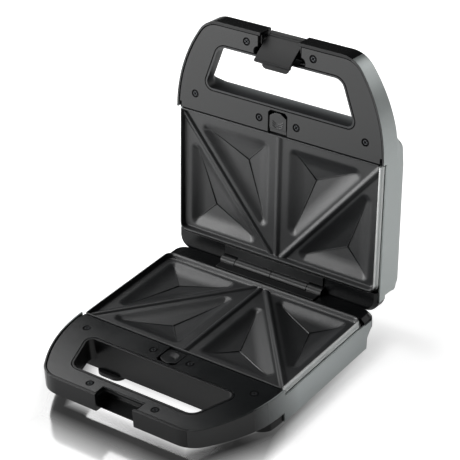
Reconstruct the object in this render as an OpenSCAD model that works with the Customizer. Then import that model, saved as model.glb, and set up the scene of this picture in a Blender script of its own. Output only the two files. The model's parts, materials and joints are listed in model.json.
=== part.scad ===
// Sandwich toaster for two sandwiches, drawn open: two hinged halves, each with
// a lift-out plate that makes four triangles, a looped handle and a swing latch.
//
// Frame: X to the right, Y from the handles to the hinge, Z up. The origin is on
// the floor, under the middle of the open toaster. Each half is drawn as if it
// were the lower one, in a local frame with y = 0 at the front of its plate and
// z = 0 where the halves meet. The lid is the mirror image, turned up on the hinge.

/* [Plates] */
// Width of a plate over its rim
plate_w = 230; // [224:0.5:236]
// Depth of a plate over its rim
plate_d = 131.8; // [129:0.2:134]
// Depth from the rim down to the flat land
land_depth = 5.2; // [4:0.1:6]
// Thickness of the rim at its top
rim_t = 1.6; // [1.2:0.1:2.4]
// Lean of the rim's inner face over its depth
rim_lean = 1.4; // [0.8:0.1:2]
// Height of the dividing ridges above the land
ridge_h = 1.9; // [1:0.1:3]
// Width of a dividing ridge at its foot
ridge_w = 7.5; // [5:0.5:9]
// Width of a dividing ridge at its crest
ridge_top_w = 2.4; // [1:0.1:4]
// Sideways start of the slanting ridges at the rear rim
ridge_start_x = 4.3; // [0:0.1:8]
// Land between a ridge's centre line and a pocket
pocket_ridge_land = 6; // [5:0.1:8]
// Land between the rim and the pockets at the rear
pocket_rear_land = 6.3; // [5:0.1:9]
// Land between the rim and the pockets at the sides
pocket_side_land = 10.3; // [8:0.1:13]
// Land between the rim and the pockets at the front
pocket_front_land = 11.6; // [8:0.1:14]
// Land between the middle ridge and the pockets beside it
pocket_mid_land = 11.6; // [8:0.1:14]
// Corner radius of a pocket's mouth
pocket_r = 5; // [3:0.5:7]
// Width of a pocket's sloping wall
pocket_wall = 10.5; // [7:0.5:13]
// Depth of a pocket at the edge of its floor
pocket_floor = 4.4; // [3:0.1:5]
// Depth of a pocket at its middle
pocket_deep = 6.3; // [5:0.1:8]
// Thickness of the cast metal
plate_t = 2.6; // [2:0.1:4]

/* [Body] */
// Width of each half beside its plate
side_wall = 3.4; // [3.3:0.1:5]
// Radius of the curved sides of the handles
side_r = 150; // [130:1:180]
// Reach of the handles in front of the plates
handle_reach = 97.7; // [92:0.1:110]
// Radius of the handles' front corners
corner_r = 26.5; // [18:0.5:32]
// Thickness of a handle at its front edge
handle_front_t = 18.5; // [17:0.1:21]
// Thickness of a handle beside the body
handle_rear_t = 24; // [21:0.1:26]
// Height of each half's body from where the halves meet
body_h = 34; // [32:0.5:38]
// Height of the lid's dome from where the halves meet
dome_h = 39; // [36:0.5:43]
// Rounding of the dome's edges
dome_r = 9; // [5:0.5:11]
// Rear edge of each half's collar, behind the front of the plate
collar_y = 155.5; // [154.5:0.1:156]
// Radius of the collar's rear corners
collar_r = 16; // [14:0.5:18]
// Radius of the body's rear corners
rear_r = 15; // [11:0.5:17]
// Rear wall of the body below the rear collar
rear_wall_y = 141; // [139:0.5:143]
// Wall of the black mouldings
wall = 2.3; // [1.8:0.1:2.8]
// Thickness of the silver covers
skin = 1.7; // [1.4:0.1:2]
// Width of the front rim of each half
front_rim = 3; // [2.5:0.1:3.6]
// Half width of the black front strip between the silver covers
strip_hw = 80; // [60:1:82]
// Gap left between two pieces of the same half
fit = 0.2; // [0.1:0.05:0.3]
// Gap of each half to the plane where they meet
meet = 0.3; // [0.2:0.05:0.5]

/* [Handles] */
// Depth of the handle trims below the meeting plane
trim_z = 1.2; // [1:0.1:1.6]
// Thickness of the handle trims
trim_t = 2.3; // [1.8:0.1:2.8]
// Rear edge of the finger openings in the trims
grip_rear_y = -26.9; // [-32:0.1:-26]
// Front edge of the finger openings in the trims
grip_front_y = -74.9; // [-77:0.1:-70]
// Half width of the finger openings at their rear edge
grip_rear_hw = 88.1; // [80:0.1:90]
// Half width of the finger openings at their front edge
grip_front_hw = 70.4; // [64:0.1:74]
// Radius of the rear corners of the finger openings
grip_rear_r = 8; // [6:0.5:10]
// Radius of the front corners of the finger openings
grip_front_r = 13; // [9:0.5:15]
// Lip of the moulding inside the finger openings
grip_lip = 2; // [1.6:0.1:2.6]
// Diameter of the trim screws' heads
screw_head_d = 6.2; // [5:0.1:7]
// Diameter of the trim screws' shanks
screw_d = 2.8; // [2.4:0.1:3.4]
// Length of the trim screws
screw_len = 12; // [9:0.5:13]

/* [Latch] */
// Width of the latch
latch_w = 39.4; // [34:0.2:42]
// Thickness of the latch
latch_t = 2.3; // [2:0.1:3]
// Distance of the latch pivot behind the front of the handle
latch_back = 6.4; // [5.8:0.1:7.4]
// Height of the latch pivot above the meeting plane
latch_rise = 13.6; // [12.6:0.1:14]
// Length of the latch below its pivot
latch_drop = 30; // [28:0.2:31]
// Length of the latch above its pivot
latch_top = 5.6; // [4:0.1:6]
// Radius of the latch's bowed face
latch_bow_r = 120; // [90:5:200]
// Radius of the latch's knuckle
latch_knuckle_r = 3; // [2.6:0.1:3.4]
// Diameter of the latch pin
latch_pin_d = 2.4; // [2:0.1:2.8]
// Length of the latch's lip
lip_len = 10; // [9:0.2:11]
// Rise of the latch's lip
lip_rise = 20; // [16:1:24]
// Width of the latch's lip
lip_w = 32; // [26:1:34]
// Angle that the latch hangs inwards while the lid is open
latch_hang = 36; // [30:1:40]
// Gap beside the latch in its slot
latch_side_gap = 1.8; // [1:0.1:2.5]

/* [Release clips] */
// Width of a release clip
clip_w = 19; // [16:0.5:21]
// Travel of a clip from over the plate's tab to its middle place
clip_hold = 1.3; // [1:0.1:1.6]

/* [Hinge] */
// Distance of the hinge behind the front of the plates
hinge_y = 149.2; // [149:0.1:149.6]
// Height of the hinge above the meeting plane
hinge_z = -0.8; // [-1:0.1:0]
// Radius of the hinge knuckles
hinge_r = 5.2; // [4.6:0.1:5.6]
// Diameter of the hinge pin
hinge_pin_d = 4; // [3:0.1:5]
// Half length of the middle knuckles
hinge_mid = 42.5; // [36:0.5:48]
// Half length of the whole hinge
hinge_hl = 59.5; // [54:0.5:64]
// Angle at which the open lid rests
open_angle = 95.5; // [90:0.5:100]

/* [Feet] */
// Height of the feet under the body
foot_h = 4; // [2:0.5:6]
// Width of a foot
foot_w = 31; // [24:1:34]
// Depth of a foot
foot_d = 20; // [14:1:22]
// Distance of the feet from the middle
foot_x = 64; // [50:1:70]

/* [Hidden] */
$fn = 48;
eps = 0.01;
far = 400;                              // longer than any cut needs to be

plate_hw = plate_w / 2;
half_w = plate_hw + side_wall;          // half width of each half beside its plate
side_cx = side_r - half_w;              // the side arcs' centres, on the other side
land_z = meet + land_depth;             // depth of the land below the meeting plane
flange_z = land_z + 0.5;                // top of the plate's flange
flange_t = 1;
flange_out = 1.1;                       // reach of the flange past the rim
clip_tab_hw = clip_w / 2 - 1;           // the flange's tab under the release clip's nose
seat_z = flange_z + flange_t + meet;    // ledge of the body under the flange
rail_z = seat_z - 0.8;                  // top of the silver panels beside the plate
tub_hw = half_w - skin - fit;           // outside of the black body at the sides
tub_front_y = grip_rear_y - grip_lip;   // body wall behind the fingers
deck_z = 2;                             // depth of the rear deck
collar_z = 16;                          // lower edge of the rear collar
handle_slope = atan((handle_rear_t - handle_front_t) / (handle_reach + tub_front_y));
trim_bed = trim_z + trim_t + fit;       // depth of the recess that the trim lies in
latch_y = latch_back - handle_reach;
slot_hw = latch_w / 2 + latch_side_gap;
notch_gap = 0.6;                        // round the hinge knuckles
stop_gap = 0.15;                        // of each collar's slope to the plane where they meet
floor_z = body_h + foot_h;              // from the meeting plane to the floor
dome_front_y = tub_front_y + 1;
foot_front_y = tub_front_y + 6;
foot_rear_y = rear_wall_y - 14;
pan_hw = plate_hw - 8;

// Extents of the open toaster along Y, which put the origin in its middle
front_ext = handle_reach;
dome_y0 = dome_front_y + dome_r;
back_ext = hinge_y + (dome_y0 - hinge_y) * cos(open_angle)
    + (dome_h - dome_r - hinge_z) * sin(open_angle) + dome_r;
mid_y = (back_ext - front_ext) / 2;

screw_spots = [[half_w - 21.5, -18.4], [37.3, 12.4 - handle_reach], [21.2, -12.9]];
foot_spots = [for (sx = [-1, 1], y = [foot_front_y, foot_rear_y]) [sx * foot_x, y]];

// ---------- placing ----------

module in_base() translate([0, -mid_y, floor_z]) children();
module in_closed_lid() in_base() mirror([0, 0, 1]) children();
module turned(angle)
    translate([0, hinge_y, hinge_z]) rotate([-angle, 0, 0]) translate([0, -hinge_y, -hinge_z])
        children();
module in_lid() in_base() turned(open_angle) mirror([0, 0, 1]) children();
module both_sides() for (s = [0, 1]) mirror([s, 0, 0]) children();

// A slab of a plan outline between two depths below the meeting plane
module slab(z0, z1) translate([0, 0, -z1]) linear_extrude(z1 - z0) children();
// A shape drawn in Y and Z, carried across from -hw to hw
module across(hw) rotate([90, 0, 90]) translate([0, 0, -hw]) linear_extrude(2 * hw) children();

// ---------- plan outlines ----------

// Handle loop outline, drawn in by ds at its curved sides and df at its front
module handle_outline(ds = 0, df = 0, y_end = 0) {
    big = side_r - ds;
    front = -handle_reach + df;
    r = corner_r - df;
    cy = front + r;
    cx = -side_cx + sqrt(pow(big - r, 2) - pow(cy, 2));
    reach = 2;
    tangent = [-side_cx + (cx + side_cx) * big / (big - r), cy * big / (big - r)];
    intersection() {
        difference() {
            intersection_for(s = [-1, 1]) translate([s * side_cx, 0]) circle(big, $fn = 96);
            for (s = [-1, 1])
                polygon([[s * cx, cy], [s * tangent[0], tangent[1]],
                    [s * (tangent[0] * reach), tangent[1] * reach], [s * cx, -far]]);
        }
        translate([-far / 2, front]) square([far, y_end - front]);
    }
    for (s = [-1, 1]) translate([s * cx, cy]) circle(r);
}

// Rectangle with its own radius at the front and at the rear corners
module plan_box(hw, y0, y1, r0, r1) {
    translate([-hw, y0 + r0]) square([2 * hw, y1 - r1 - y0 - r0]);
    translate([-hw + r0, y0]) square([2 * (hw - r0), r0 + eps]);
    translate([-hw + r1, y1 - r1 - eps]) square([2 * (hw - r1), r1 + eps]);
    for (s = [-1, 1]) translate([s * (hw - r0), y0 + r0]) circle(r0);
    for (s = [-1, 1]) translate([s * (hw - r1), y1 - r1]) circle(r1);
}

// Finger opening, drawn in by d
module grip_outline(d = 0) {
    lean = atan((grip_rear_hw - grip_front_hw) / (grip_rear_y - grip_front_y));
    function side_x(y) = grip_front_hw + (y - grip_front_y) * tan(lean);
    rear_cy = grip_rear_y - grip_rear_r;
    front_cy = grip_front_y + grip_front_r;
    hull() for (s = [-1, 1]) {
        translate([s * (side_x(rear_cy) - grip_rear_r / cos(lean)), rear_cy])
            circle(grip_rear_r - d);
        translate([s * (side_x(front_cy) - grip_front_r / cos(lean)), front_cy])
            circle(grip_front_r - d);
    }
}

// ---------- plates ----------

// Incentre and inradius of a triangle, and the triangle drawn in by d
function side_lengths(t) = [norm(t[1] - t[2]), norm(t[2] - t[0]), norm(t[0] - t[1])];
function incentre(t) = let (l = side_lengths(t))
    (l[0] * t[0] + l[1] * t[1] + l[2] * t[2]) / (l[0] + l[1] + l[2]);
function area2(t) = abs((t[1][0] - t[0][0]) * (t[2][1] - t[0][1])
    - (t[2][0] - t[0][0]) * (t[1][1] - t[0][1]));
function inradius(t) = let (l = side_lengths(t)) area2(t) / (l[0] + l[1] + l[2]);
function drawn_in(t, d) = let (c = incentre(t), r = inradius(t))
    [for (p = t) c + (p - c) * (r - d) / r];

// The slanting ridge's centre line, and the two pocket triangles beside it
ridge_a = [ridge_start_x, plate_d];
ridge_b = [plate_hw + 2.4, 0];
ridge_dir = (ridge_b - ridge_a) / norm(ridge_b - ridge_a);
ridge_n = [-ridge_dir[1], ridge_dir[0]];
function slant_x(y, d) = ridge_a[0] + (d - (y - ridge_a[1]) * ridge_n[1]) / ridge_n[0];
function slant_y(x, d) = ridge_a[1] + (d - (x - ridge_a[0]) * ridge_n[0]) / ridge_n[1];
rear_edge = plate_d - pocket_rear_land;
side_edge = plate_hw - pocket_side_land;
rear_pocket = [[side_edge, rear_edge],
    [slant_x(rear_edge, pocket_ridge_land), rear_edge],
    [side_edge, slant_y(side_edge, pocket_ridge_land)]];
front_pocket = [[pocket_mid_land, pocket_front_land],
    [slant_x(pocket_front_land, -pocket_ridge_land), pocket_front_land],
    [pocket_mid_land, slant_y(pocket_mid_land, -pocket_ridge_land)]];

module pocket_cut(tri) {
    mouth = drawn_in(tri, pocket_r);
    floor_tri = drawn_in(tri, pocket_wall + 1);
    middle = incentre(tri);
    hull() {
        for (p = mouth) translate([p[0], p[1], -land_z]) cylinder(h = 1, r = pocket_r, $fn = 32);
        for (p = floor_tri)
            translate([p[0], p[1], -land_z - pocket_floor]) cylinder(h = eps, r = 1, $fn = 16);
        translate([middle[0], middle[1], -land_z - pocket_deep]) cylinder(h = eps, r = 0.5, $fn = 16);
    }
}

module pocket_pan(tri) {
    slab(land_z + plate_t - eps, land_z + pocket_deep + plate_t)
        offset(r = pocket_r + 1.5) polygon(drawn_in(tri, pocket_r));
}

module ridge(from, to) {
    run = to - from;
    translate([from[0], from[1], -land_z]) rotate([0, 0, atan2(run[1], run[0])])
        rotate([90, 0, 90]) linear_extrude(norm(run))
            polygon([[-ridge_w / 2, -eps], [ridge_w / 2, -eps], [ridge_top_w / 2 + 0.6, ridge_h * 0.8],
                [ridge_top_w / 2 - 0.4, ridge_h], [-ridge_top_w / 2 + 0.4, ridge_h],
                [-ridge_top_w / 2 - 0.6, ridge_h * 0.8]]);
}

module rim_hollow() {
    top = rim_t;
    low = rim_t + rim_lean;
    hull() {
        slab(-1, meet) plan_box(plate_hw - top, top, plate_d - top, 1.5, 6);
        slab(land_z - eps, land_z) plan_box(plate_hw - low, low, plate_d - low, 0.8, 5);
    }
}

module plate_outline(out = 0) plan_box(plate_hw + out, -out, plate_d + out, 3 + out, 8 + out);

module cooking_plate() {
    difference() {
        union() {
            slab(meet, flange_z + eps) plate_outline();
            slab(flange_z, flange_z + flange_t) {
                plan_box(plate_hw + flange_out, 0, plate_d + flange_out, 3, 9);
                translate([-clip_tab_hw, -flange_out]) square([2 * clip_tab_hw, flange_out + 1]);
            }
            slab(flange_z, land_z + plate_t) plan_box(pan_hw, 3, plate_d - 3, 6, 6);
            both_sides() pocket_pan(rear_pocket);
            both_sides() pocket_pan(front_pocket);
        }
        rim_hollow();
        both_sides() pocket_cut(rear_pocket);
        both_sides() pocket_cut(front_pocket);
    }
    intersection() {
        union() {
            ridge([0, 0.8], [0, plate_d - 0.8]);
            both_sides() ridge(ridge_a, ridge_b);
        }
        slab(meet, flange_z) plan_box(plate_hw - 0.6, 0.6, plate_d - 0.6, 3, 7);
    }
}

// ---------- heating ----------

heater_d = 6.4;
heater_z = land_z + pocket_deep + plate_t + 0.3 + heater_d / 2;
heater_hw = plate_hw - 37;
heater_y0 = 22;
heater_y1 = plate_d - 19.8;
heater_bend = 20;
heater_gap = 21;                        // half distance between the cold ends

// Tubular heater: a U of rod under the plate with both cold ends at the rear
module heater() {
    r = heater_d / 2;
    z = -heater_z;
    both_sides() {
        translate([0, heater_y0, z]) rotate([0, 90, 0]) cylinder(h = heater_hw - heater_bend, r = r);
        translate([heater_hw, heater_y0 + heater_bend, z]) rotate([-90, 0, 0])
            cylinder(h = heater_y1 - heater_y0 - 2 * heater_bend, r = r);
        translate([heater_hw - heater_bend, heater_y0 + heater_bend, z]) rotate([0, 0, -90])
            rotate_extrude(angle = 90) translate([heater_bend, 0]) circle(r);
        translate([heater_hw - heater_bend, heater_y1 - heater_bend, z])
            rotate_extrude(angle = 90) translate([heater_bend, 0]) circle(r);
        translate([heater_gap, heater_y1, z]) rotate([0, 90, 0])
            cylinder(h = heater_hw - heater_bend - heater_gap, r = r);
    }
}

// Ceramic bead and spade of each cold end
module terminals() {
    both_sides() {
        translate([heater_gap - 0.1, heater_y1, -heater_z]) rotate([0, -90, 0])
            cylinder(h = 7, d = heater_d + fit);
        translate([heater_gap - 15, heater_y1 - 3.2, -heater_z - 0.5]) cube([8.1, 6.4, 1]);
    }
}

reflector_z = heater_z + heater_d / 2 + 0.3;

sheet_t = 0.8;
reflector_lip = 2.4;
module reflector_outline(d)
    plan_box(plate_hw - 11 - d, 8 + d, plate_d - 5.8 - d, 8 - d, 8 - d);

// Aluminium tray under the heater, which throws the heat back up
module reflector() {
    difference() {
        slab(reflector_z - reflector_lip, reflector_z + sheet_t) reflector_outline(0);
        slab(reflector_z - reflector_lip - 1, reflector_z) reflector_outline(sheet_t);
    }
}

// ---------- black body ----------

// Underside of the handles, sloping from the front edge down to the body
module handle_depth(rise = 0)
    across(far / 2)
        polygon([[-handle_reach - 5, 5], [5, 5], [5, rise - handle_rear_t],
            [tub_front_y, rise - handle_rear_t], [-handle_reach, rise - handle_front_t],
            [-handle_reach - 5, rise - handle_front_t]]);

strip_d = front_rim + 1;                // depth of the front strip
// Front strip between the silver covers, drawn in by d at its ends
module front_strip(d = 0)
    translate([-strip_hw + d, -far]) square([2 * (strip_hw - d), far + grip_front_y - 5]);

// Handle loop of the black moulding, kept sunk under a cover of the given thickness
module handle_body(sunk) {
    intersection() {
        slab(meet, far / 4) handle_outline(skin + fit, front_rim + fit, 3);
        handle_depth(sunk);
    }
    intersection() {
        slab(meet, far / 4) intersection() {
            handle_outline();
            front_strip(fit);
            translate([-far / 2, -far]) square([far, far - handle_reach + strip_d]);
        }
        handle_depth();
    }
}

module handle_hollow(hole_in, sunk) {
    intersection() {
        slab(trim_bed - eps, far / 4)
            difference() {
                handle_outline(skin + fit + wall, front_rim + fit + wall, 3);
                grip_outline(hole_in - wall);
            }
        handle_depth(wall + sunk);
    }
}

// Bed of the trim: the whole loop up to the lip round the finger opening
module trim_recess() {
    slab(-1, trim_bed)
        difference() {
            handle_outline(skin, front_rim, 4);
            grip_outline();
        }
    slab(-1, trim_z) grip_outline(-1);
}

// Bosses for the trim screws; those behind the fingers have a rib to the body's front wall
module screw_bosses(depth)
    for (s = [-1, 1], p = screw_spots) slab(trim_bed, depth) {
        translate([s * p[0], p[1]]) circle(d = screw_d + 4.4);
        if (p[1] > tub_front_y)
            translate([s * p[0] - 1, tub_front_y + 1]) square([2, p[1] - tub_front_y - 1]);
    }

module screw_bores()
    for (s = [-1, 1], p = screw_spots)
        translate([s * p[0], p[1], -trim_bed - screw_len]) cylinder(h = screw_len + 1, d = screw_d);

panel_end_y = 143;                      // rear end of the silver panels
panel_drop_y = 130;                     // where their top edge drops to the collar's
deck_front_y = plate_d + 1;
stop_slope = open_angle / 2;            // of the collars, which meet when the lid is open

// Depth at which the collar's slope reaches its rear edge
function slope_z(axis_z) = (collar_y - hinge_y) * tan(stop_slope) - axis_z + stop_gap;

// Rear deck with its sloping collar, round and under the hinge
module rear_deck(axis_z) {
    low = slope_z(axis_z);
    rise = collar_y - hinge_y - (deck_z + axis_z - stop_gap) / tan(stop_slope);
    difference() {
        intersection() {
            hull() {
                slab(deck_z, deck_z + eps)
                    plan_box(half_w - rise, deck_front_y - 20, collar_y - rise, 5, collar_r - rise);
                slab(low, collar_z) plan_box(half_w, deck_front_y - 20, collar_y, 5, collar_r);
            }
            translate([-far / 2, deck_front_y, -far / 2]) cube(far);
        }
        difference() {
            slab(deck_z + wall, collar_z + 1) intersection() {
                plan_box(half_w - rise - wall, 20, collar_y - wall, 5, collar_r - wall);
                translate([-far / 2, rear_wall_y]) square([far, far]);
            }
            hinge_trough(axis_z, hinge_r + notch_gap + wall, hinge_hl + notch_gap + wall);
            slope_wall(axis_z);
        }
        for (s = [-1, 1]) slab(-1, collar_z + 1)
            translate([s * (tub_hw + 5), plate_d]) square([10, 2 * (panel_end_y + fit - plate_d)], center = true);
    }
}

// Material behind the collar's slope, so that its wall keeps its thickness
module slope_wall(axis_z) {
    back = collar_y - slope_z(axis_z) / tan(stop_slope);
    across(far / 2)
        polygon([[back - 2 * wall, 0], [collar_y, 0], [collar_y, -slope_z(axis_z) - 2 * wall]]);
}

module hinge_trough(axis_z, r, hw)
    translate([-hw, hinge_y, axis_z]) rotate([0, 90, 0]) cylinder(h = 2 * hw, r = r);

// Body, kept inside the narrowing sides of the handle in front of the plate
module tub(depth)
    slab(seat_z, depth) intersection() {
        plan_box(tub_hw, tub_front_y, rear_wall_y, rear_r, rear_r);
        union() {
            handle_outline(skin + fit, front_rim + fit, 1);
            translate([-far / 2, 0]) square([far, far]);
        }
    }

// Cavity: full size below, and above it an opening that leaves the plate's ledge
ledge = 1.2;
module tub_hollow(depth, floor_t) {
    slab(seat_z + wall, depth - floor_t)
        plan_box(tub_hw - wall, tub_front_y + wall, rear_wall_y - wall, rear_r - wall, rear_r - wall);
    slab(0, seat_z + wall + eps)
        plan_box(tub_hw - wall, tub_front_y + wall, plate_d - ledge, 4, 8);
}

plate_gap = 0.6;
module plate_opening()
    slab(-1, seat_z) plate_outline(flange_out + plate_gap);

// One half's moulding. hole_in draws the finger opening in from the trim's edge, and
// axis_z is the height of the hinge in the half's own frame
module half_body(depth, floor_t, hole_in, sunk, axis_z) {
    difference() {
        union() {
            difference() {
                union() {
                    handle_body(sunk);
                    tub(depth);
                    rear_deck(axis_z);
                }
                handle_hollow(hole_in, sunk);
                tub_hollow(depth, floor_t);
            }
            intersection() {
                screw_bosses(depth);
                union() {
                    handle_depth(wall / 2 + sunk);
                    slab(trim_bed, depth - floor_t + eps)
                        plan_box(tub_hw - wall + eps, tub_front_y + wall / 2, plate_d, 3, 3);
                }
            }
            children();
        }
        trim_recess();
        plate_opening();
        slab(-1, far / 4) grip_outline(hole_in);
        hinge_trough(axis_z, hinge_r + notch_gap, hinge_hl + notch_gap);
        screw_bores();
    }
}

// ---------- latch and its keeper ----------

// Undercut in the front of the lower handle that the latch's lip hooks into
keeper_top = 12;                      // set back of its upper edge from the front
keeper_in = 18;                         // set back of its deepest line
keeper_mid_z = 11;
keeper_low = 6.4;                       // set back of its lower edge
keeper_low_z = 19.4;
keeper_side = 1.8;                      // the trim's notch reaches past it at each side
keeper_ledge = 2.7;                     // and this far behind its upper edge
module keeper_cut()
    across(slot_hw)
        polygon([[-far / 4, 2], [-handle_reach + keeper_top, 2], [-handle_reach + keeper_top, -1],
            [-handle_reach + keeper_in, -keeper_mid_z], [-handle_reach + keeper_low, -keeper_low_z],
            [-far / 4, -keeper_low_z - 20]]);

module keeper_block()
    intersection() {
        translate([-slot_hw - wall, -handle_reach + 1, -far / 4])
            cube([2 * (slot_hw + wall), keeper_in + wall, far / 4 - trim_bed]);
        handle_depth();
    }

// Slot in the lid's handle: open over the latch's head and through to the fingers
module latch_slot() {
    head_room = latch_top + 0.8;
    low = 1;
    across(slot_hw)
        polygon([[-far / 4, -far / 4], [latch_y + head_room, -far / 4],
            [latch_y + head_room, -handle_front_t + 3], [grip_front_y + 1, -handle_front_t + 3],
            [grip_front_y + 1, low], [-far / 4, low]]);
}

// Cheeks beside the slot that carry the latch pin
cheek_t = 4.5;
cheek_d = 11;                            // front to back
cheek_top = handle_front_t - skin - fit; // just under the silver cover
module latch_cheeks()
    for (s = [-1, 1])
        translate([s * (slot_hw + cheek_t / 2) - cheek_t / 2, latch_y - cheek_d / 2, -cheek_top])
            cube([cheek_t, cheek_d, cheek_top - trim_bed]);

module latch_bore(d, l)
    translate([-l / 2, latch_y, -latch_rise]) rotate([0, 90, 0]) cylinder(h = l, d = d);

latch_pin_len = 2 * (slot_hw + cheek_t - 1);
pin_play = 0.05;

// Latch in its local frame: pivot on the origin, hanging down, bowed to the front
module latch_body() {
    face_y = -latch_knuckle_r;
    tip = [face_y + 1.4, -latch_drop];
    difference() {
        union() {
            rotate([0, 90, 0]) cylinder(h = latch_w, r = latch_knuckle_r, center = true);
            across(latch_w / 2) intersection() {
                difference() {
                    translate([face_y + latch_bow_r, -11]) circle(latch_bow_r, $fn = 96);
                    translate([face_y + latch_bow_r, -11]) circle(latch_bow_r - latch_t, $fn = 96);
                }
                translate([face_y - 1, -latch_drop]) square([8, latch_drop + latch_top]);
            }
            translate([0, tip[0], tip[1]]) rotate([lip_rise, 0, 0]) {
                translate([-latch_w / 2, 0, 0]) cube([latch_w, 3.4, 2]);
                linear_extrude(2) {
                    translate([-lip_w / 2, 0]) square([lip_w, lip_len - 3]);
                    translate([-lip_w / 2 + 3, 0]) square([lip_w - 6, lip_len]);
                    for (s = [-1, 1]) translate([s * (lip_w / 2 - 3), lip_len - 3]) circle(3);
                }
            }
        }
        rotate([0, 90, 0]) cylinder(h = latch_w + 1, d = latch_pin_d + 2 * pin_play, center = true);
    }
}

// ---------- trims, clips and springs ----------

clip_hw = clip_w / 2;
clip_well_hw = clip_hw + 0.9;
clip_well_y = -23.5;
clip_front_y = -22;
clip_top_z = trim_z + 0.5;

module trim_outline()
    difference() {
        handle_outline(skin + 2 * fit, front_rim + 2 * fit, -0.5);
        grip_outline(-fit);
        for (s = [-1, 1]) translate([s * (plate_hw + 1), 0]) square([4, 2 * flange_z], center = true);
    }

module clip_well()
    difference() {
        translate([-clip_well_hw, clip_well_y]) square([2 * clip_well_hw, 40]);
        for (s = [-1, 1])
            translate([s * clip_well_hw, clip_well_y]) rotate(45) square(3.4, center = true);
    }

module trim_plate() {
    difference() {
        slab(trim_z, trim_z + trim_t)
            difference() {
                trim_outline();
                clip_well();
                children();
            }
        for (s = [-1, 1], p = screw_spots) translate([s * p[0], p[1], -trim_z - trim_t - 1]) {
            cylinder(h = trim_t + 2, d = screw_d + 0.4);
            translate([0, 0, 1 + trim_t - 1.3]) cylinder(h = 3, d = screw_head_d + 0.5);
        }
    }
}

module trim_screws()
    for (s = [-1, 1], p = screw_spots) translate([s * p[0], p[1], -trim_z]) difference() {
        union() {
            translate([0, 0, -1.2]) cylinder(h = 1.1, d = screw_head_d);
            translate([0, 0, -screw_len]) cylinder(h = screw_len - 1, d = screw_d - 0.1);
        }
        for (a = [45, 135]) rotate([0, 0, a])
            translate([-1.8, -0.4, -0.8]) cube([3.6, 0.8, 1]);
    }

clip_nose_z = flange_z - 0.3;
clip_nose_y = -flange_out - 0.5;
clip_press = 1.2;                       // travel from the middle place to fully pressed
clip_tail_y = -21;
clip_rail_z = clip_nose_z + 0.3;

// Sliding clip: thumb pad in the trim's well, nose over the plate's flange
module release_clip() {
    step_y = -5.4;
    slab(clip_top_z, clip_nose_z) {
        polygon([[-clip_hw, step_y], [-clip_hw, clip_front_y + 4], [-3, clip_front_y],
            [3, clip_front_y], [clip_hw, clip_front_y + 4], [clip_hw, step_y]]);
    }
    slab(clip_top_z + 0.9, clip_nose_z)
        translate([-clip_hw, step_y - eps]) square([clip_w, clip_nose_y - step_y + eps]);
    // three raised arcs for the thumb
    for (i = [0:2]) slab(clip_top_z - 0.35, clip_top_z + eps) translate([0, -19.5 + 2.2 * i])
        intersection() {
            difference() {
                circle(9);
                circle(8.2);
            }
            translate([-6, 0]) square([12, 10]);
        }
    // guide tongue under the trim, and the tail that the spring pushes
    slab(trim_z + trim_t + 0.3, clip_nose_z) translate([-clip_hw - 3, -17]) square([clip_w + 6, 11]);
    slab(clip_nose_z - eps, clip_nose_z + 4) translate([-4, clip_tail_y]) square([8, 2]);
}

// Rails of the body under the clip's tongue
module clip_rails()
    for (s = [-1, 1]) slab(clip_rail_z, clip_rail_z + 6)
        translate([s * (clip_hw + 1.5) - 2, tub_front_y + 1]) square([4, 24]);

module clip_spring() {
    turns = 4;
    wire = 0.5;
    coil_r = 1.7;
    start = tub_front_y + wall + 0.3 + wire / 2;
    end = clip_tail_y - clip_press - 0.8 - wire / 2;
    for (i = [0:turns - 1]) translate([0, start + i * (end - start) / (turns - 1), -clip_nose_z - coil_r - wire])
        rotate([90, 0, 0]) rotate_extrude() translate([coil_r, 0]) circle(wire / 2, $fn = 16);
}

// ---------- hinge ----------

leaf_top = 0.5;                         // depth of the leaves' top
leaf_front_y = plate_d + flange_out + plate_gap + 0.5;
knuckle_gap = 0.6;
hinge_screw_d = 2.6;
hinge_head_d = 5;
hinge_screw_y = rear_wall_y - wall - fit - hinge_head_d / 2;  // just inside the rear wall

module knuckle(x0, x1)
    translate([x0, hinge_y, hinge_z]) rotate([0, 90, 0]) cylinder(h = x1 - x0, r = hinge_r);

module hinge_bore(extra)
    translate([-hinge_hl - 1, hinge_y, hinge_z]) rotate([0, 90, 0])
        cylinder(h = 2 * hinge_hl + 2, d = hinge_pin_d + extra);

// Leaf on the deck; tabs reach back to the knuckles between x0 and x1
module leaf(x0, x1) {
    slab(leaf_top, deck_z) {
        translate([-hinge_hl + 1.5, leaf_front_y])
            square([2 * hinge_hl - 3, hinge_y - hinge_r - 1 - leaf_front_y]);
        for (s = [-1, 1]) translate([min(s * x0, s * x1), leaf_front_y])
            square([x1 - x0, hinge_y - leaf_front_y]);
    }
}

module leaf_screws(xs)
    for (s = [-1, 1], x = xs) translate([s * x, hinge_screw_y, -seat_z - wall]) {
        translate([0, 0, -eps]) cylinder(h = seat_z + wall - deck_z + 1, d = hinge_screw_d - 0.1);
        translate([0, 0, -1.8]) cylinder(h = 1.8, d = hinge_head_d);
    }

module leaf_holes(xs)
    for (s = [-1, 1], x = xs) translate([s * x, hinge_screw_y, -seat_z - wall - 1])
        cylinder(h = seat_z + wall - deck_z + 2.2, d = hinge_screw_d);

base_leaf_xs = [20, 50];
lid_leaf_xs = [14, 36];

// ---------- base ----------

base_floor = wall;
post_spots = [[plate_hw - 25, 20], [plate_hw - 25, plate_d - 17.8]];
gland_x = 72;
gland_z = 25;
gland_d = 11;

module reflector_posts(from, to, d)
    for (s = [-1, 1], p = post_spots) translate([s * p[0], p[1], -to]) cylinder(h = to - from, d = d);

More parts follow.
